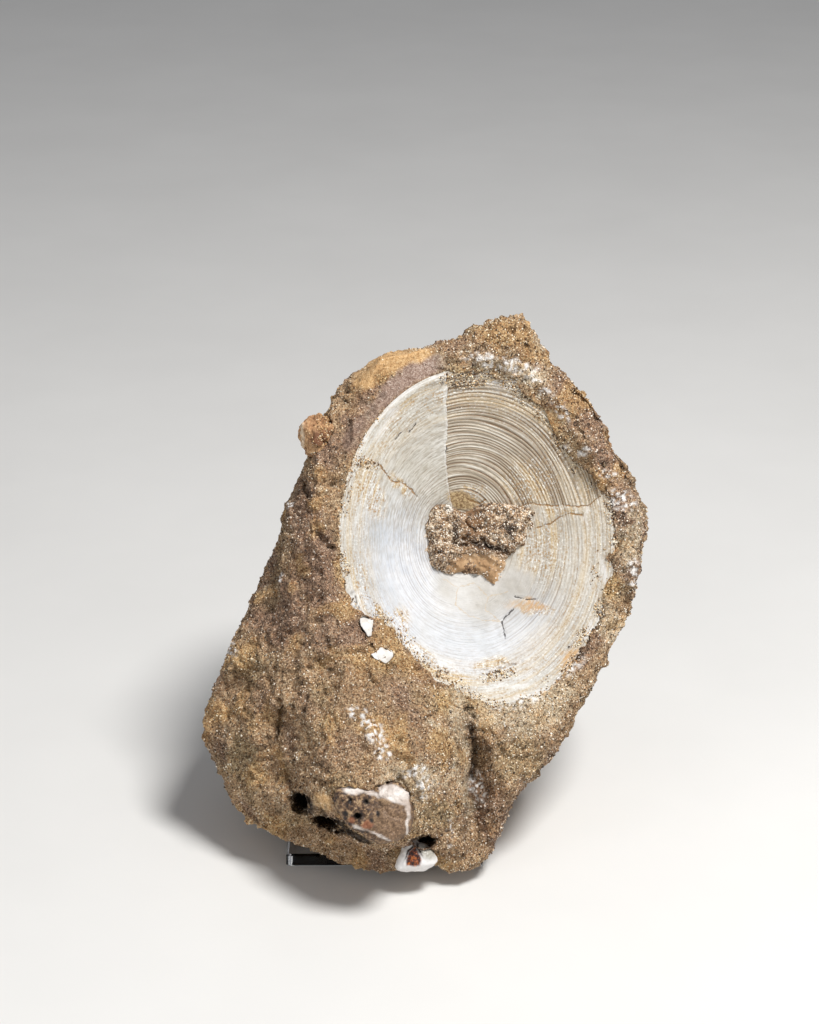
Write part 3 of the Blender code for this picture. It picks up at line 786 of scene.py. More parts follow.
def hug_rim(points, normals):
    """Raises the rock beside the vertebra's rim into a smooth slope that closes on the rim."""
    disc, outside, bare = beside_rim(points)
    facing = smooth_step(0.0, 0.5, normals[:, 2])
    near = band(-1.0, -0.2, 4.0, 6.0, outside)
    slope = mixed(0.15 - 0.1 * np.maximum(outside, 0.0), -0.5 - 0.35 * np.clip(outside, 0.0, 3.2), bare)

    # Where the rim is bare, the rock beside it is pressed down to a ceiling.
    ceiling = slope + 0.5 * np.maximum(outside - 3.2, 0.0)
    pressed = bare * smooth_step(-0.6, 0.0, outside) * (1 - smooth_step(9.0, 13.0, outside))
    disc[:, 2] -= np.maximum(disc[:, 2] - ceiling, 0.0) * pressed

    # What lies below the slope rises to it, and what is at the rim moves in to close on it.
    raised = np.maximum(facing, smooth_step(0.2, 0.8, outside))
    disc[:, 2] += np.maximum(slope - disc[:, 2], 0.0) * near * raised * (disc[:, 2] > -9.0)
    at_rim = (disc[:, 2] > -3.5) & (outside > 0)
    reach = mixed(0.8 + 0.5 * noise(points, 2.0, 59), 0.36, bare)
    inward = reach * smooth_step(2.4, 0.4, outside) * at_rim / HALF_WIDTH
    disc[:, :2] *= (1 - inward)[:, None]
    return moved(DISC, disc)


def pits(points):
    """1 in small pits that come in clusters over the rock."""
    clusters = smooth_step(-0.05, 0.35, noise(points, 8.0, 42))
    return smooth_step(0.45, 0.1, pebbles(points, 2.8, 41)) * clusters


def carved(points, normals):
    """The rock's points after the sand's relief, the grooves and the thin crust's worn edge."""
    disc, outside, bare = beside_rim(points)
    share = 1 + outside / HALF_WIDTH
    above = disc[:, 2] - hollow_level(share)
    in_pocket = (share < 1.06) & (above < 0.5)
    beyond = window_reach(points)
    on_crust = (share < 1.04) & (above >= -0.1)
    front = smooth_step(-0.3, 0.3, normals[:, 2])

    # The sand's relief, which is low at the back, on smooth places, on the crust and beside the rim.
    height = sum(amount * ridged(points, size, seed) for amount, size, seed in SAND_LUMPS)
    height += CRUMB_HEIGHT * rough(points, 1.6, 31)
    height += CRUMB_HEIGHT * smooth_step(0.5, 0.1, pebbles(points, 1.4, 43)) - PIT_DEPTH * pits(points)
    height = height * (0.75 + 0.25 * front) - PEAK_CUT * smooth_step(105.0, 112.0, points[:, 1])
    height *= 1 - 0.9 * bare * (1 - smooth_step(4.0, 8.0, outside)) * (outside > -0.5)
    height *= 1 - 0.75 * patches(points, *SMOOTH_PLACES)
    height *= mixed(1.0, smooth_step(-0.5, 3.5, beyond) * 0.75 + 0.15, on_crust)
    height *= np.maximum(smooth_step(0.0, 2.6, outside), smooth_step(0.4, 2.0, above) * (share < 1.04))
    height = mixed(height, UNDER_FLAKES, front * on_flakes(points))
    points = points + normals * height[:, None]

    # Grooves, caves and the shards' facets.
    ragged = points[:, :2] + 0.8 * sway(points, 1.8, 56)
    for half_width, depth, line in (*GROOVES, RIDGE):
        points[:, 2] -= depth * stroke(ragged, half_width, line) * front * ~in_pocket
    for depth, cave in CAVES:
        points[:, 2] -= depth * patch(ragged, *cave, 0.3) * front
    facets = FACET_HEIGHT * np.abs(noise(points, 2.6, 58)) * patches(points, *SHARDS) * front
    points += normals * facets[:, None]

    # The crust thins out towards its edge, and the edge is ragged.
    worn = 1 - smooth_step(-0.2, 3.4, beyond + 0.7 * noise(points, 2.0, 51))
    worn *= np.minimum(0.85 * above, CRUST_THICKNESS)
    worn *= 1 - smooth_step(0.3, 3.8, outside)
    points -= np.outer(np.where(above > 0.1, worn, 0.0), DISC[:3, 2])
    at_edge = np.where(on_crust, band(-1.5, -0.2, 1.0, 3.0, beyond), 0.0)
    flat = on_plane(points[:, :2])
    for axis, seed in ((0, 52), (1, 54)):
        points[:, axis] += at_edge * (1.1 * noise(flat, 3.2, seed) + 0.5 * noise(flat, 1.3, seed + 1))
    return points, in_pocket


def rock_marks(points, normals):
    """How strongly each region's colour shows at each point."""
    wobble = sway(points, 3.0, 61) + 0.5 * sway(points, 1.0, 63)
    front = smooth_step(-0.2, 0.2, normals[:, 2])
    marks = {}
    for region, (strength, reach, shapes) in REGIONS.items():
        marks[region] = strength * front * patches(points[:, :2] + reach * wobble, *shapes)
    for region, strength, low, high, size, seed in SCATTERED:
        scattered = strength * smooth_step(low, high, noise(points, size, seed))
        marks[region] = np.maximum(marks[region], scattered)
    greyer = front * patch(points, *GREYER)
    marks["ochre"] *= 1 - 0.85 * greyer
    marks["plum"] = np.maximum(marks["plum"], 0.4 * greyer)
    marks["white"] *= smooth_step(0.5, 0.34, pebbles(points, 1.2, 68) + 0.25 * noise(points, 0.5, 69))
    _, outside, bare = beside_rim(points)
    marks["mauve"] = front * bare * smooth_step(-0.2, 0.2, outside)
    marks["mauve"] *= 1 - smooth_step(2.6, 3.8, outside + wobble[:, 0])
    marks["mauve"] *= mixed(0.5, 1.0, smooth_step(-14.0, -6.0, points[:, 0]))
    close = points[:, :2] + 0.4 * wobble
    marks["pale"] = np.maximum(marks["pale"], 0.9 * front * stroke(close, 0.45, RIDGE_LINE))
    marks["tan"] *= 1 - 0.8 * patches(points, *SHARDS) * smooth_step(-0.1, 0.3, noise(points, 1.4, 60))
    slits = np.max([stroke(close, half_width, line) for half_width, _, line in GROOVES], axis=0)
    caves = patches(close, *[cave for _, cave in CAVES])
    # Painted shade in the slits, caves and pits, darkened as if they lay in shadow.
    marks["painted_shade_and_specks"] = front * np.max([0.3 * slits, 0.9 * caves, 0.4 * pits(points)], axis=0)
    return marks


def thin_out(piece, triangles, spare):
    """Brings a piece made of quads down to so many triangles, taking more where spare is higher."""
    group = piece.vertex_groups.new(name="spare")
    for level in range(1, 11):
        chosen = np.nonzero(np.round(spare * 10) == level)[0]
        group.add([int(index) for index in chosen], level / 10, "REPLACE")
    step = piece.modifiers.new("thin_out", "DECIMATE")
    step.ratio = triangles / (2 * len(piece.data.polygons))
    step.vertex_group = "spare"
    step.vertex_group_factor = 3.0
    thinned = evaluated(piece)
    piece.modifiers.clear()
    piece.vertex_groups.clear()
    piece.data = thinned
    thinned.shade_smooth()


def add_rock():
    mesh = remeshed("rock_matrix", ROCK_VOXEL)
    points = relaxed(mesh, points_of(mesh), 4)
    set_points(mesh, points)
    points = hug_rim(points, normals_of(mesh))
    disc, outside, bare = beside_rim(points)
    creased = band(0.4, 1.2, 2.0 + 3.0 * bare, 3.5 + 3.5 * bare, outside)
    creased *= mixed(0.6, 1.0, bare) * (disc[:, 2] > -7.0)
    points = mixed(points, relaxed(mesh, points, 14), creased[:, None])
    set_points(mesh, points)
    points, in_pocket = carved(points, normals_of(mesh))
    set_points(mesh, points)
    piece = add_piece("rock", mesh, "sandy_rock", rock_material(), "rock_matrix")
    behind = smooth_step(0.1, -0.4, normals_of(mesh)[:, 2])
    thin_out(piece, ROCK_TRIANGLES, behind * 0.7 + 0.3 * in_pocket)
    for region, values in rock_marks(points_of(piece.data), normals_of(piece.data)).items():
        set_value(piece.data, region, values)
    return piece


# ---------------------------------------------------------------- the vertebra

ROWS = 250
COLUMNS = 360
RING_COUNT = 56
RING_HEIGHT = 0.08
LIP_HEIGHT = 0.5

# The vertebra's rim and buried side, from the face round to the back: (share of the oval, depth).
PROFILE = (
    (1, -0.7), (0.995, -1.4), (0.975, -3.2), (0.955, -5.2), (0.94, -7.4), (0.935, -9.4), (0.94, -11.4),
    (0.95, -13.4), (0.96, -15.4), (0.97, -17), (0.7, -17), (0.35, -17),
)

# The two long cracks from the middle to the rim: (share of the rim's distance, angle). The upright one is
# about UPRIGHT degrees round. The plate between them has sunk, by CRACK_STEP beside the level crack and
# beside the upright one.
UPRIGHT = 102.0
UPRIGHT_CRACK = ((0, 103), (0.22, 103), (0.32, 105), (0.55, 103.4), (0.66, 100.8), (0.84, 100.4), (1, 99.6))
LEVEL_CRACK = (
    (0.3, 26), (0.44, 24.6), (0.53, 21.7), (0.62, 16.5), (0.7, 14.8), (0.78, 12.4), (0.845, 11.2),
    (0.93, 13.3),
)
CRACK_STEP = (0.25, 0.8)

# Cracks in the vertebra's face, as lines about its middle: open, filled with sand, and faint.
OPEN_CRACKS = (
    ((8, -14.9), (5.1, -17.2), (5.4, -19.3), (5.6, -21)),
    ((8.6, -12.4), (10, -12.7), (10.9, -13.2), (12.7, -13.3)),
    ((-14.5, 22.7), (-15.9, 21.3)),
    ((-11.3, 24.5), (-12.8, 22.9)),
    ((-4.6, 19.4), (-4.7, 18)),
)
FILLED_CRACKS = (
    ((-19.8, 16.6), (-18.2, 14.6), (-16.5, 13), (-14, 12.5), (-12.6, 11.4), (-11, 9.4)),
    ((9, 6), (13.2, 6.9), (16.5, 6.1), (19, 6.2), (21.7, 5.8), (23.8, 5.7), (26.2, 7.5)),
    ((14, 1.8), (16.3, 2.4), (18.6, 3.7), (20.4, 4.5), (22.6, 3.9)),
    ((0.4, 8.2), (2.4, 7.2), (3.6, 8)),
)
FAINT_CRACKS = (
    ((-6, -8), (-3, -10), (0.6, -9.2), (3, -12), (7, -11.4)),
    ((-3, -10), (-4, -13.4), (-1.6, -16)),
    ((3, -12), (2.2, -15), (5.1, -17.2)),
    ((-1.6, -16), (2, -17), (5.1, -17.2)),
)
# The cracks that are cut in: (lines, half width, depth).
CUT_CRACKS = ((OPEN_CRACKS, 0.2, 0.2), (FILLED_CRACKS, 0.25, 0.15))

# Coloured patches of the vertebra's face, about its middle.
CHALK = ((2, -11.8, 7, 5, 0, 0.8), (9, -9.8, 3.4, 3, -30, 0.8), (-5, -9.8, 3, 3, 30, 0.8))
COOL = (
    (-14, -7, 9, 15, 20, 0.7), (-17, -15, 6, 9, 40, 0.7), (-2, -20, 15, 8, -10, 0.7),
    (9, -16, 8, 6, 0, 0.8),
)
STAINS = (
    (-5.4, 30.4, 3.2, 1.5), (-15.5, 12.6, 3.6, 0.9, -45), (18.6, 4.9, 4.6, 1.1, 10), (-19, -18, 3, 6, -45),
    (1, 9.6, 2.6, 1.8), (12, -14.8, 4, 1.6, -15), (17.6, -26.8, 3.4, 3.2, 40), (-22, 12, 3, 7, 20),
    (-8, -27, 6, 2, -25), (-24.6, -8, 1.6, 6, 6), (-20, -16, 1.4, 5, 35),
    (-12.6, -22.6, 5, 1.2, -38), (15, -3, 5, 7, 0, 0.7), (13, 11, 5, 5, 0, 0.7),
    (3, -26, 5, 1.6), (-15, 26.6, 6, 1.8, 50, 0.6),
)
OLIVE_SPOT = ((-1.4, 8.2, 3.4, 1.9, -20, 0.3),)
CLAY = ((19, -26, 2.8, 2.3, 40), (10.4, -14.2, 3.8, 1.2, -6))
BRIGHT = (
    (11, -32, 7, 0.7, 12), (22.4, -20, 0.9, 2.6, -35), (26.2, -8, 0.5, 4, 8),
    (-8, -24.6, 3, 0.7, -35), (-14.6, -22, 2.4, 0.8, -45), (-26, -10.6, 1.4, 2.4),
    (23.6, 3.6, 0.4, 2.4), (5, -30.6, 5, 0.5), (7.6, 31.8, 6.4, 1.3, -12, 0.6),
    (18.4, 25.6, 4.6, 1, -46, 0.6), (-17.6, 25.2, 4.6, 0.9, 52, 0.6), (-25.6, -13, 1.2, 2.6, 15),
)
SPECKS = ((-8.6, -26.6, 1.8, 1), (3.8, -27, 4, 1.5, 8), (-2.6, 33, 4.4, 2.2, -5), (-26, -11, 1.6, 2.4))
SANDY_BONE = (
    (-23.6, 17.2, 3.6, 1.2, -15), (-1, 33, 4.6, 1.6, -4), (10, 31, 5, 1.4, -24),
    (-20, -18.4, 1.2, 5, 40), (-8.6, -27.4, 2, 0.9, -20), (3.2, -28.2, 4, 1, 6),
    (-28, -3.6, 0.9, 2.4), (21.4, 17.4, 1.6, 3.4, 30), (-29.6, 0, 0.9, 11),
)


def path_at(path, share):
    shares, angles = zip(*path)
    return np.radians(np.interp(share, shares, angles))


class Face:
    """The vertebra's face as ROWS rings of COLUMNS points, and what lies at each point."""

    def __init__(self):
        turn = np.arange(COLUMNS) * math.tau / COLUMNS
        nearest = int(UPRIGHT / 360 * COLUMNS)
        turn[nearest] = math.radians(UPRIGHT - 0.1)
        turn[nearest + 1] = math.radians(UPRIGHT + 0.1)
        share, turn = np.meshgrid(np.linspace(0.0, 1.0, ROWS + 1)[1:] ** 0.8, turn, indexing="ij")
        share, turn = share.ravel(), turn.ravel()

        # The rings' points shift sideways near the upright crack, so that two columns follow it.
        along = np.stack([share, share * 0, share * 0], 1)
        jagged = 0.014 * noise(along, 1 / 45, 70) + 0.02 * noise(along, 1 / 14, 69)
        path = path_at(UPRIGHT_CRACK, share) - math.radians(UPRIGHT) + jagged
        turn = turn + path * (1 - smooth_step(0.05, 0.8, np.abs(turn - math.radians(UPRIGHT))))
        self.share, self.turn = share, turn
        self.spot = on_disc(share, turn)
        self.place = on_plane(self.spot)

        # The sunken sector, in which part goes from 0 at the level crack to 1 at the upright one.
        upright, level_crack = path + math.radians(UPRIGHT), path_at(LEVEL_CRACK, share)
        self.part = (turn - level_crack) / (upright - level_crack)
        self.sector = smooth_step(-0.02, 0.02, self.part) * (self.part < 1.0)

        self.fuzzy = self.spot + 0.9 * sway(self.place, 2.5, 78)
        self.chalk = patches(self.fuzzy, *CHALK)
        self.olive = patches(self.fuzzy, *OLIVE_SPOT)
        self.worn = np.maximum(self.chalk, self.olive)

        # The count of growth rings outwards, at a spacing that drifts round and across the disc.
        drift = 2.0 * self.ring_waves(9.0, 0.8, 71) + 0.5 * self.ring_waves(3.0, 1.6, 72)
        self.phase = share * RING_COUNT + drift + 0.35 * self.ring_waves(28.0, 0.9, 70)

    def ring_waves(self, count, turning, seed):
        """Noise drawn out along the rings: count waves to the radius, longer for a lower turning."""
        waves = [self.share * count, np.cos(self.turn) * turning, np.sin(self.turn) * turning]
        return noise(np.stack(waves, -1), 1.0, seed)

    def level(self):
        """How far in front of the rim's plane each point lies."""
        share = self.share
        level = hollow_level(share)
        level -= self.sector * mixed(*CRACK_STEP, np.clip(self.part, 0, 1)) * (1 - share**6)
        strength = (0.2 + 0.8 * self.sector) * (1 - 0.9 * self.worn)
        relief = -RING_HEIGHT * np.cos(math.tau * self.phase) * (0.8 + 0.8 * self.ring_waves(20.0, 1.5, 81))
        relief += 0.05 * self.ring_waves(90.0, 1.4, 72)
        relief += 0.16 * np.abs(self.ring_waves(16.0, 0.9, 73)) * smooth_step(0.3, 0.7, share)
        level += relief * strength * smooth_step(1.0, 0.97, share)
        shaky = self.spot + 0.15 * sway(self.place, 1.2, 74)
        for lines, half_width, depth in CUT_CRACKS:
            for line in lines:
                level -= depth * stroke(shaky, half_width, line)
        level += 0.10 * rough(self.place, 2.2, 76, 3)
        lip = smooth_step(0.93, 0.965, share) - smooth_step(0.965, 1.0, share)
        level += LIP_HEIGHT * lip * (0.5 + 0.5 * noise(self.place, 5.0, 77))
        return level

    def marks(self, rim_verts):
        """What the material reads: (name, values on the face, value on the rim and the back)."""
        share, turn, sector, part = self.share, self.turn, self.sector, self.part
        plain = 1 - sector
        beside = smooth_step(0.1, 0.8, np.cos(turn)) * plain
        inner = smooth_step(0.62, 0.38, share) * plain
        outer = smooth_step(0.62, 0.85, share) * 0.7
        # A painted highlight along the bare rim's edge and along the raised plate's edge at the upright
        # crack, and a painted shadow line along that crack's foot on the sunken side.
        rim_highlight = smooth_step(0.972, 0.984, share) * band(*RIM_HIGHLIGHT, np.degrees(turn))
        crack_edge_highlight = (part >= 1.0) & (part < 1.008)
        crack_foot_shadow = (part < 1.0) & (part > 0.99)
        specks = patches(self.fuzzy, *SPECKS) * smooth_step(0.1, 0.4, noise(self.place, 0.8, 80))
        foot = crack_foot_shadow * smooth_step(-0.1, 0.5, noise(self.place, 3.0, 83))
        return (
            ("share", share, 1.0),
            ("phase", self.phase, 0.5),
            ("turn_x", np.cos(turn), 0.0),
            ("turn_y", np.sin(turn), 0.0),
            ("lines", (0.1 + 0.9 * sector + 0.35 * np.maximum(beside, inner)) * (1 - self.worn), 0.1),
            ("brown", sector * 0.85 + 0.2 * smooth_step(0.3, 0.9, np.cos(turn)) * plain, 0.5),
            ("ochre", np.maximum(outer, 1.3 * patches(self.fuzzy, *STAINS)), 0.3),
            ("cool", patches(self.fuzzy, *COOL), 0.0),
            ("olive", self.olive, 0.0),
            ("orange", patches(self.fuzzy, *CLAY), 0.0),
            ("chalk", self.chalk, 0.0),
            ("highlight_and_pale", np.max([rim_highlight, crack_edge_highlight, patches(self.fuzzy, *BRIGHT)], axis=0), 0.0),
            ("rind", np.zeros(len(share)), smooth_step(-1.6, -3.0, rim_verts[:, 2])),
            # Dark specks, and the painted shadow line at the upright crack's foot.
            ("painted_shade_and_specks", np.maximum(0.85 * specks, 0.6 * foot), 0.0),
        )


def add_vertebra():
    face = Face()
    rings = [np.column_stack([face.spot, face.level()])]
    for share, depth in PROFILE:
        rings.append(np.column_stack([on_disc(share, face.turn[-COLUMNS:]), np.full(COLUMNS, depth)]))
    middles = [(*HOLLOW_SHIFT, -HOLLOW_DEPTH), (*HOLLOW_SHIFT, PROFILE[-1][1])]
    verts = np.concatenate(rings + [middles])

    here = np.arange(COLUMNS)
    after = np.roll(here, -1)
    last = (ROWS + len(PROFILE) - 1) * COLUMNS
    front_middle = last + COLUMNS
    faces = []
    for low in range(0, last, COLUMNS):
        high = low + COLUMNS
        faces.append(np.stack([low + here, high + here, high + after], 1))
        faces.append(np.stack([low + here, high + after, low + after], 1))
    faces.append(np.stack([np.full(COLUMNS, front_middle), here, after], 1))
    faces.append(np.stack([np.full(COLUMNS, front_middle + 1), last + after, last + here], 1))
    mesh = mesh_from("vertebra_face", moved(DISC, verts), np.concatenate(faces))

    rim_verts = verts[len(face.share):]
    for name, values, elsewhere in face.marks(rim_verts):
        set_value(mesh, name, np.concatenate([values, np.broadcast_to(elsewhere, len(rim_verts))]))
    spots = mesh.attributes.new("spot", "FLOAT_VECTOR", "POINT")
    spots.data.foreach_set("vector", (verts * (1, 1, 0)).astype(np.float32).ravel())
    return add_piece("ringed_vertebra", mesh, "fossil_bone", bone_material(), "vertebra")


# ---------------------------------------------------------------- small pieces

# The crumbly rock's edge on the bone, seen square on to the stone's face, and how far it moves across.
FILL_OUTLINE = (
    (1.2, 75), (3.1, 77.7), (5.5, 77.3), (7.6, 75), (10.5, 74.6), (13.3, 77.1), (17.8, 77.7), (22.5, 76.7),
    (23.6, 74.6), (22.3, 70.9), (21.1, 67.9), (18.5, 65.6), (17, 64.4), (16.2, 60.4), (14.8, 57.6),
    (13, 60.6), (11.7, 61.4), (8.2, 61.2), (4.1, 62.1), (2.2, 63.4), (1.1, 66.8), (0.7, 70.9),
)
FILL_SHIFT = (1.3, 0, 0)

# The crumbly rock's lumps, the gaps between them as (half width, line), and its marks.
FILL_LUMPS = (
    (4.2, 72, 2.6, 3.2, 0, 0.7), (4.4, 66, 2.6, 2.4, 0, 0.7), (18, 73.6, 3.4, 2.2, 0, 0.7),
    (20.6, 69.6, 2.6, 2.4, 0, 0.7), (15.2, 70, 1.8, 2.4, 0, 0.7),
)
FILL_GAPS = (
    (0.45, ((5.4, 75), (6.3, 71.6), (6.8, 68.6), (9, 67.6))),
    (0.5, ((9, 69.4), (11.6, 68.4), (14.6, 67.4), (18.6, 66.2))),
    (0.35, ((16.6, 75.4), (17.2, 72), (18.6, 70.4))),
    (0.3, ((9.6, 73.8), (10.4, 71))),
)
FILL_CLAY = ((11.8, 63.8, 5.6, 2, -4, 0.5), (14.4, 61, 1.6, 2.6, -15, 0.5), (8, 62.8, 3, 1.2, 0, 0.5))
FILL_UMBER = ((10.4, 72.6, 2.6, 4.2, 0, 0.6), (8.6, 68.6, 2.2, 1.6, 0, 0.6), (12.4, 67.4, 5, 1, -14, 0.6))
FILL_MARKS = {
    "clay": FILL_CLAY,
    "umber": FILL_UMBER,
    "white": ((5, 75.6, 0.9, 1.2), (24, 70, 1.4, 0.8)),
    # Painted shade along the gaps between the lumps.
    "painted_shade_and_specks": (
        (6.4, 70.4, 0.7, 2.6, 10, 0.8), (13.4, 67.4, 4.4, 0.7, -14, 0.8), (17.6, 71, 0.6, 1.8, 20, 0.8),
    ),
}
FRAGMENT_MARKS = {
    "white": (
        (-14.1, 19.9, 2.2, 0.9), (-10.6, 19.1, 1.9, 0.45, -22),
        ((-8.9, 18.7), (-6.4, 17.5), (-3.5, 16.6), (-2.9, 19.4), (-6.8, 20.9), (-9.3, 20.5)),
        (-3.4, 15.6, 0.45, 2), (-3.6, 12.4, 0.25, 2.6), (-9.4, 10.9, 2.8, 0.25, -24),
        (-13.2, 12.5, 1.3, 0.4, -28),
    ),
    "dense": ((-6.6, 13.6, 3.6, 4.4, 0, 0.6),),
    "clay": ((-11.6, 13, 1.2, 0.8, 20), (-14.6, 14, 0.7, 0.6)),
    # Painted shade in the fragment's pores.
    "painted_shade_and_specks": (
        (-11.7, 17.6, 0.7, 0.7), (-13.4, 14.7, 0.9, 0.8), (-14.8, 17.8, 0.5, 0.6), (-15.8, 15.2, 0.5, 0.6),
        (-9.4, 15.2, 0.4, 0.5), (-10.6, 13.8, 0.4, 0.4),
    ),
}
CHIP_MARKS = {
    "clay": (((-2.1, 7.4), (-3.9, 4), (-3.6, 2.8), (-1, 2.8), (-0.9, 4)),),
    "grey": ((0.4, 5.6, 2, 1.4, -30, 0.5),),
    # Painted shade in the grooves between the blades and the core.
    "painted_shade_and_specks": ((-3.2, 5.8, 0.25, 1.9, -30), (-1.2, 6, 0.3, 1.6, 25)),
}
KNOB_MARKS = {"white": ((-25, 90, 0.4, 3),), "umber": ((-21.4, 89.6, 2, 1.8, 30, 0.6),)}

# A rim flake's rings of points, from the middle of its front to that of its back: (share, lift).
FLAKE_SIDES = 48
FLAKE_RINGS = [(share, 0.3) for share in np.linspace(0.08, 1, 12)] + [(1, -0.9), (0.1, -0.9)]


def settle_fill(points):
    """Slopes the crumbly rock down to the vertebra's face at its edge, and shapes its lumps and gaps."""
    points = points + FILL_SHIFT
    disc = moved(DISC_BACK, points)
    share, _ = share_and_turn(disc)
    above = disc[:, 2] - hollow_level(share)
    spot = points[:, :2] + 1.3 * sway(points, 1.8, 91)
    smooth = 1 - patches(spot, *FILL_CLAY)
    lumps = 0.6 * patches(spot, *FILL_LUMPS) + (0.5 - pebbles(points, 2.1, 93))
    lumps += 0.5 * rough(points, 1.0, 94)
    lumps = lumps * smooth - np.max([stroke(spot, *gap) for gap in FILL_GAPS], axis=0)
    lumps -= 0.7 * patches(spot, *FILL_UMBER)
    flat_clay = 1.6 + 0.3 * noise(points, 1.8, 95) + 0.12 * noise(points, 0.7, 96)
    thick = mixed(np.maximum(0.65 * above + lumps, 0.3), flat_clay, 1 - smooth)
    edge = smooth_step(-0.9, 2.4, depth_inside(spot, FILL_OUTLINE))
    level = np.where(above > 0.9, (thick + 0.5) * edge - 0.5, above - 1.4)
    disc[:, 2] += level - above
    return moved(DISC, disc)


def add_lump(name, node, slot, voxel, material, marks, reliefs=(), grow=0.0, settle=None):
    """A finer copy of a CAD piece. Its reliefs are (height, size, seed)."""
    mesh = remeshed(node, voxel)
    points = relaxed(mesh, points_of(mesh), 2)
    set_points(mesh, points)
    normals = normals_of(mesh)
    points = points + grow * normals
    for height, size, seed in reliefs:
        points = points + normals * (height * ridged(points, size, seed))[:, None]
    if settle:
        points = settle(points)
    set_points(mesh, points)
    front = smooth_step(-0.2, 0.2, normals[:, 2])
    spot = points[:, :2] + 0.3 * sway(points, 1.5, 81)
    for mark, shapes in marks.items():
        set_value(mesh, mark, front * patches(spot, *shapes))
    return add_piece(name, mesh, slot, material, node)


def add_flake(name, outline, rock, material):
    """A flat flake of the rim, lying in the plane of the rock's surface round it."""
    middle = np.mean(outline, axis=0)
    angles = np.linspace(0, math.tau, FLAKE_SIDES, endpoint=False)
    spokes = np.stack([np.cos(angles), np.sin(angles)], 1)

    # The plane through the rock's surface on a circle round the flake.
    around = BVHTree.FromPolygons(points_of(rock.data).tolist(), triangles_of(rock.data).tolist())
    circle = [Vector((*spot, 90.0)) for spot in middle + 2.6 * spokes]
    hits = [around.ray_cast(start, Vector((0, 0, -1)))[0] for start in circle]
    hits = np.array([hit for hit in hits if hit is not None and hit[2] > 0])
    flat = np.column_stack([hits[:, :2], np.ones(len(hits))])
    slope, _, _, _ = np.linalg.lstsq(flat, hits[:, 2], rcond=None)

    reach = np.linspace(0, 4, 81)
    edge = [reach[depth_inside(middle + np.outer(reach, spoke), outline) > 0].max() for spoke in spokes]
    edge = np.array(edge) + 0.12 * noise(on_plane(spokes * 9), 1.0, 151)
    verts = []
    for share, lift in FLAKE_RINGS:
        spot = middle + spokes * (edge * share)[:, None]
        level = spot @ slope[:2] + slope[2] + lift + 0.6 - 0.3 * share**4
        level += 0.18 * noise(on_plane(spot), 1.1, 152) * (lift > 0)
        verts.append(np.column_stack([spot, level]))

    here = np.arange(FLAKE_SIDES)
    after = np.roll(here, -1)
    last = FLAKE_SIDES * (len(FLAKE_RINGS) - 1)
    between = np.stack([here, here + FLAKE_SIDES, after + FLAKE_SIDES, after], 1)
    quads = np.concatenate([between + low for low in range(0, last, FLAKE_SIDES)])
    front = np.array([(0, index, index + 1) for index in range(1, FLAKE_SIDES - 1)])
    faces = np.concatenate([quads[:, :3], quads[:, [0, 2, 3]], front, front[:, [0, 2, 1]] + last])
    return add_piece(name, mesh_from(name, np.concatenate(verts), faces), "fossil_bone", material)


# ---------------------------------------------------------------- sand grains

OCTAHEDRON = np.array([(1, 0, 0), (0, 1, 0), (-1, 0, 0), (0, -1, 0), (0, 0, 1), (0, 0, -1)], float)
OCTAHEDRON_FACES = np.array(
    [(0, 1, 4), (1, 2, 4), (2, 3, 4), (3, 0, 4), (1, 0, 5), (2, 1, 5), (3, 2, 5), (0, 3, 5)]
)


def on_sand(middle, normal):
    """Sand all over the rock, with less behind, on its smooth places and beside the bare rim."""
    disc, beyond, bare_rim = beside_rim(middle)
    share, _ = share_and_turn(disc)
    above = disc[:, 2] - hollow_level(share)
    outside = ((share > 0.98) & (disc[:, 2] > -1.3)) | (share > 1.06) | (above > 0.3)
    outside = outside * (1 - 0.95 * bare_rim * (1 - smooth_step(2.6, 3.8, beyond)))
    smooth = patches(middle, *SMOOTH_PLACES)
    facing = 0.15 + 0.85 * smooth_step(-0.4, 0.3, normal[:, 2])
    return outside * facing * (1 - 0.9 * smooth) * (1 - on_flakes(middle))


def on_bone(middle, normal):
    """Sand left on the vertebra: along the crust's edge in places, and in patches."""
    disc = moved(DISC_BACK, middle)
    beyond = window_reach(middle)
    edge = smooth_step(-3.4, 0.0, beyond + 1.6 * noise(middle, 5.0, 141))
    edge = edge * smooth_step(-0.4, 0.3, noise(middle, 4.0, 142))
    weight = np.maximum(edge, 0.9 * patches(disc, *SANDY_BONE))
    return weight * (disc[:, 2] > -6.0) * (normal[:, 2] > -0.1) * (1 - on_flakes(middle))


def on_fill(middle, normal):
    clay = patches(middle, *FILL_CLAY)
    umber = patches(middle, *FILL_UMBER)
    return smooth_step(0.0, 0.5, normal[:, 2]) * (1 - 0.93 * clay) * (1 - 0.45 * umber)


def on_knob(middle, normal):
    """Sand on the side of the knob that the rock meets, and a little elsewhere."""
    near_rock = smooth_step(-23.4, -20.6, middle[:, 0] + noise(middle, 2.0, 143))
    return 0.05 + near_rock + 0.6 * smooth_step(-0.2, -0.6, normal[:, 1])


# How much of each region's colour the grains off the rock take, at most.
BONE_TINT = {"ochre": 1.0, "pale": 1.0}
FILL_TINT = {"pale": 1.0, "plum": 0.5, "white": 0.25}
KNOB_TINT = {"ochre": 1.0, "tan": 0.7}

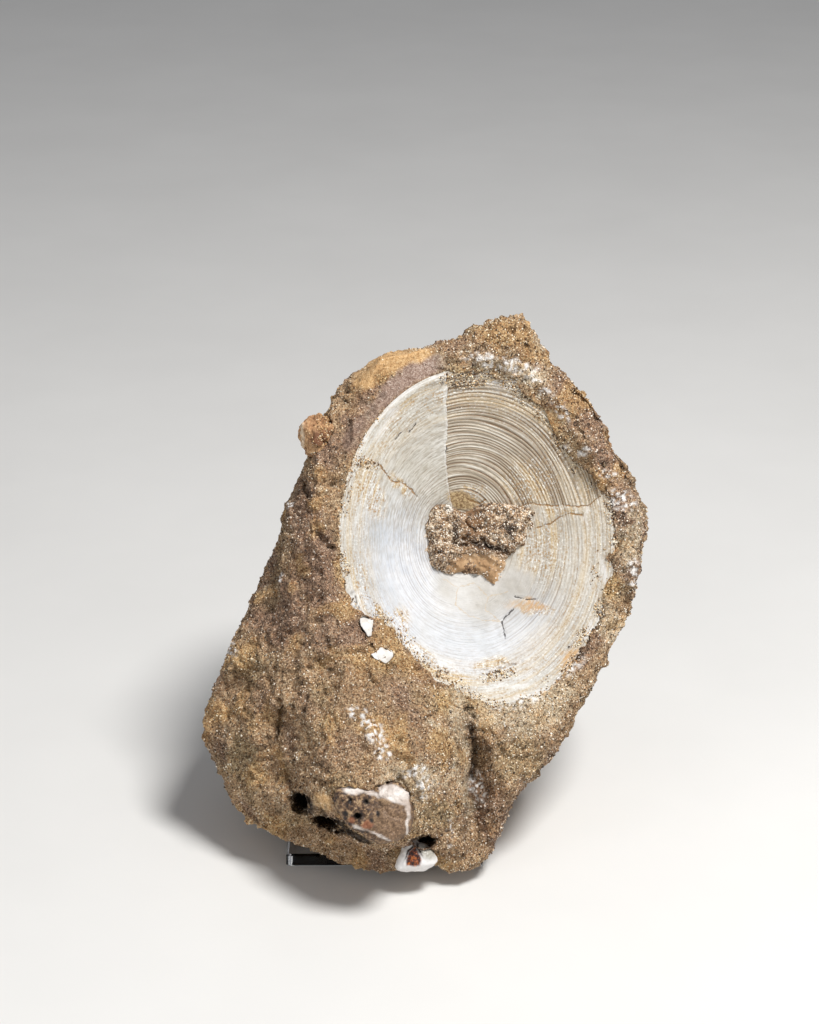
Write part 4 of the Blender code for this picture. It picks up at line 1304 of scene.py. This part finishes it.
# Each mesh of grains: (name, piece they lie on, slot, count, sizes, seed, where they lie, tint).
GRAINS = (
    ("sand_coarse", "rock", "sandy_rock", 9000, (0.3, 0.6), 131, on_sand, None),
    ("sand_medium", "rock", "sandy_rock", 23500, (0.22, 0.44), 132, on_sand, None),
    ("sand_fine", "rock", "sandy_rock", 23500, (0.18, 0.36), 133, on_sand, None),
    ("sand_bone", "vertebra", "fossil_bone", 8000, (0.22, 0.5), 135, on_bone, BONE_TINT),
    ("sand_fill", "fill", "hollow_rock", 3600, (0.18, 0.5), 134, on_fill, FILL_TINT),
    ("sand_knob", "knob", "orange_clay", 1400, (0.2, 0.45), 136, on_knob, KNOB_TINT),
)


def rotations(spin):
    """A matrix for each quaternion."""
    w, x, y, z = (spin / np.linalg.norm(spin, axis=1, keepdims=True)).T
    return np.array([
        [1 - 2 * (y * y + z * z), 2 * (x * y - z * w), 2 * (x * z + y * w)],
        [2 * (x * y + z * w), 1 - 2 * (x * x + z * z), 2 * (y * z - x * w)],
        [2 * (x * z - y * w), 2 * (y * z + x * w), 1 - 2 * (x * x + y * y)],
    ]).transpose(2, 0, 1)


def add_grains(name, piece, slot, material, count, sizes, seed, weight, tint):
    """Sand grains stuck to a piece: small jittered octahedra joined in one mesh."""
    rng = np.random.default_rng(seed)
    corners = points_of(piece.data)[triangles_of(piece.data)]
    cross = np.cross(corners[:, 1] - corners[:, 0], corners[:, 2] - corners[:, 0])
    area = np.linalg.norm(cross, axis=1)
    normal = cross / np.maximum(area, 1e-12)[:, None]
    chance = area * weight(corners.mean(axis=1), normal)
    chosen = rng.choice(len(corners), count, p=chance / chance.sum())
    a, b = rng.random((2, count))
    flip = a + b > 1
    a, b = np.where(flip, 1 - a, a), np.where(flip, 1 - b, b)
    low, wide, high = corners[chosen].transpose(1, 0, 2)
    at = low + a[:, None] * (wide - low) + b[:, None] * (high - low)
    size = sizes[0] + (sizes[1] - sizes[0]) * rng.random(count) ** 2
    at += normal[chosen] * (size * rng.uniform(-0.1, 0.25, count))[:, None]

    turns = rotations(rng.normal(size=(count, 4)))
    shape = OCTAHEDRON[None] * rng.uniform(0.7, 1.3, (count, 1, 3)) + rng.normal(0, 0.12, (count, 6, 3))
    shape = np.einsum("nij,nkj->nki", turns, shape * (0.5 * size)[:, None, None])
    verts = (shape + at[:, None]).reshape(-1, 3)
    faces = (OCTAHEDRON_FACES[None] + 6 * np.arange(count)[:, None, None]).reshape(-1, 3)
    made = mesh_from(name, verts, faces, smooth=False)

    contrast = 1.1 + 0.6 * smooth_step(-8.0, 14.0, at[:, 0])
    tone = np.clip(0.5 + contrast * (rng.random(count) - 0.5) + 0.3 * noise(at, 1.6, seed), 0.0, 1.0)
    set_value(made, "tone", np.repeat(tone, 6))
    # The grains take the rock's marks, the painted shade in caves, slits and pits among them.
    for mark, values in rock_marks(at, normal[chosen]).items():
        if tint:
            values = np.full(count, tint.get(mark, 0.0)) * rng.random(count)
        set_value(made, mark, np.repeat(values, 6))
    add_piece(name, made, slot, material)


# ---------------------------------------------------------------- the studio

# Each light: (name, place, aim, power, size), in metres and watts.
LIGHTS = (
    ("key", (0.24, -0.22, 0.68), (0.005, -0.02, 0.05), 6.3, 0.2),
    ("fill_left", (-0.55, -0.6, 0.3), (0, -0.02, 0.05), 1.2, 0.5),
    ("front_low", (0.1, -0.7, 0.06), (0, -0.03, 0.01), 0.35, 0.5),
    ("fill_right", (0.6, -0.5, 0.2), (0, -0.02, 0.05), 0.7, 0.5),
)
# The camera in the leaning frame, and the floor, in millimetres.
CAMERA_AT = (-3.18, 74.62, 500)
FLOOR_SIZE = 2400.0
FLOOR_ROWS = 48
FLOOR_LEVEL = -0.05


def add_floor():
    ticks = np.linspace(-FLOOR_SIZE / 2, FLOOR_SIZE / 2, FLOOR_ROWS + 1)
    x, y = np.meshgrid(ticks, ticks, indexing="ij")
    verts = np.stack([x.ravel(), y.ravel(), np.full(x.size, FLOOR_LEVEL)], 1)
    index = np.arange(x.size).reshape(x.shape)
    faces = np.stack([index[:-1, :-1], index[1:, :-1], index[1:, 1:], index[:-1, 1:]], -1).reshape(-1, 4)
    mesh = mesh_from("floor", moved(FACE_BACK @ np.diag((MM, MM, MM, 1.0)), verts), faces)
    mesh.materials.append(floor_material())
    add_object("floor", mesh)


def add_light(name, place, aim, power, size):
    data = bpy.data.lights.new(name, "AREA")
    data.shape = "DISK"
    data.size = size
    data.energy = power
    light = add_object(name, data)
    light.location = place
    light.rotation_euler = (Vector(aim) - Vector(place)).to_track_quat("-Z", "Y").to_euler()


def add_camera():
    data = bpy.data.cameras.new("camera")
    data.lens = 85.75
    data.clip_end = 10.0
    camera = add_object("camera", data)
    camera.location = moved(FACE, np.array([CAMERA_AT]))[0]
    camera.rotation_euler = (math.pi / 2 - LEAN, 0.0, 0.0)
    bpy.context.scene.camera = camera


def light_studio():
    add_floor()
    for light in LIGHTS:
        add_light(*light)
    world = bpy.data.worlds.new("studio")
    world.use_nodes = True
    colour, strength = world.node_tree.nodes["Background"].inputs[:2]
    colour.default_value = (0.9, 0.93, 1.0, 1.0)
    strength.default_value = 0.25
    bpy.context.scene.world = world
    bpy.context.scene.view_settings.view_transform = "Standard"
    add_camera()


def main():
    pieces = {"rock": add_rock(), "vertebra": add_vertebra()}
    pieces["fill"] = add_lump(
        "crumbly_fill", "cone_fill", "hollow_rock", 0.3, plug_material(), FILL_MARKS, settle=settle_fill
    )
    add_lump(
        "spongy_fragment", "bone_fragment", "spongy_bone", 0.25, spongy_material(), FRAGMENT_MARKS,
        ((0.6, 2.6, 101), (0.24, 1.0, 104)), 0.55,
    )
    add_lump(
        "enamel_chip", "tooth_fragment", "white_enamel", 0.2, tooth_material(), CHIP_MARKS,
        ((0.2, 2.0, 111), (0.12, 0.8, 114)), 0.25,
    )
    pieces["knob"] = add_lump(
        "orange_knob", "orange_nodule", "orange_clay", 0.3, nodule_material(), KNOB_MARKS,
        ((1.4, 3.0, 121), (0.5, 1.1, 124)), 0.4,
    )
    bare_bone = flake_material()
    for name, outline in RIM_FLAKES.items():
        add_flake(name, outline, pieces["rock"], bare_bone)
    sand = grain_material()
    for name, under, slot, *rest in GRAINS:
        add_grains(name, pieces[under], slot, sand, *rest)

    clear = acrylic_material()
    for name in ("stand_base", "stand_back"):
        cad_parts[name].data.materials.clear()
        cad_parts[name].data.materials.append(clear)
    light_studio()


main()
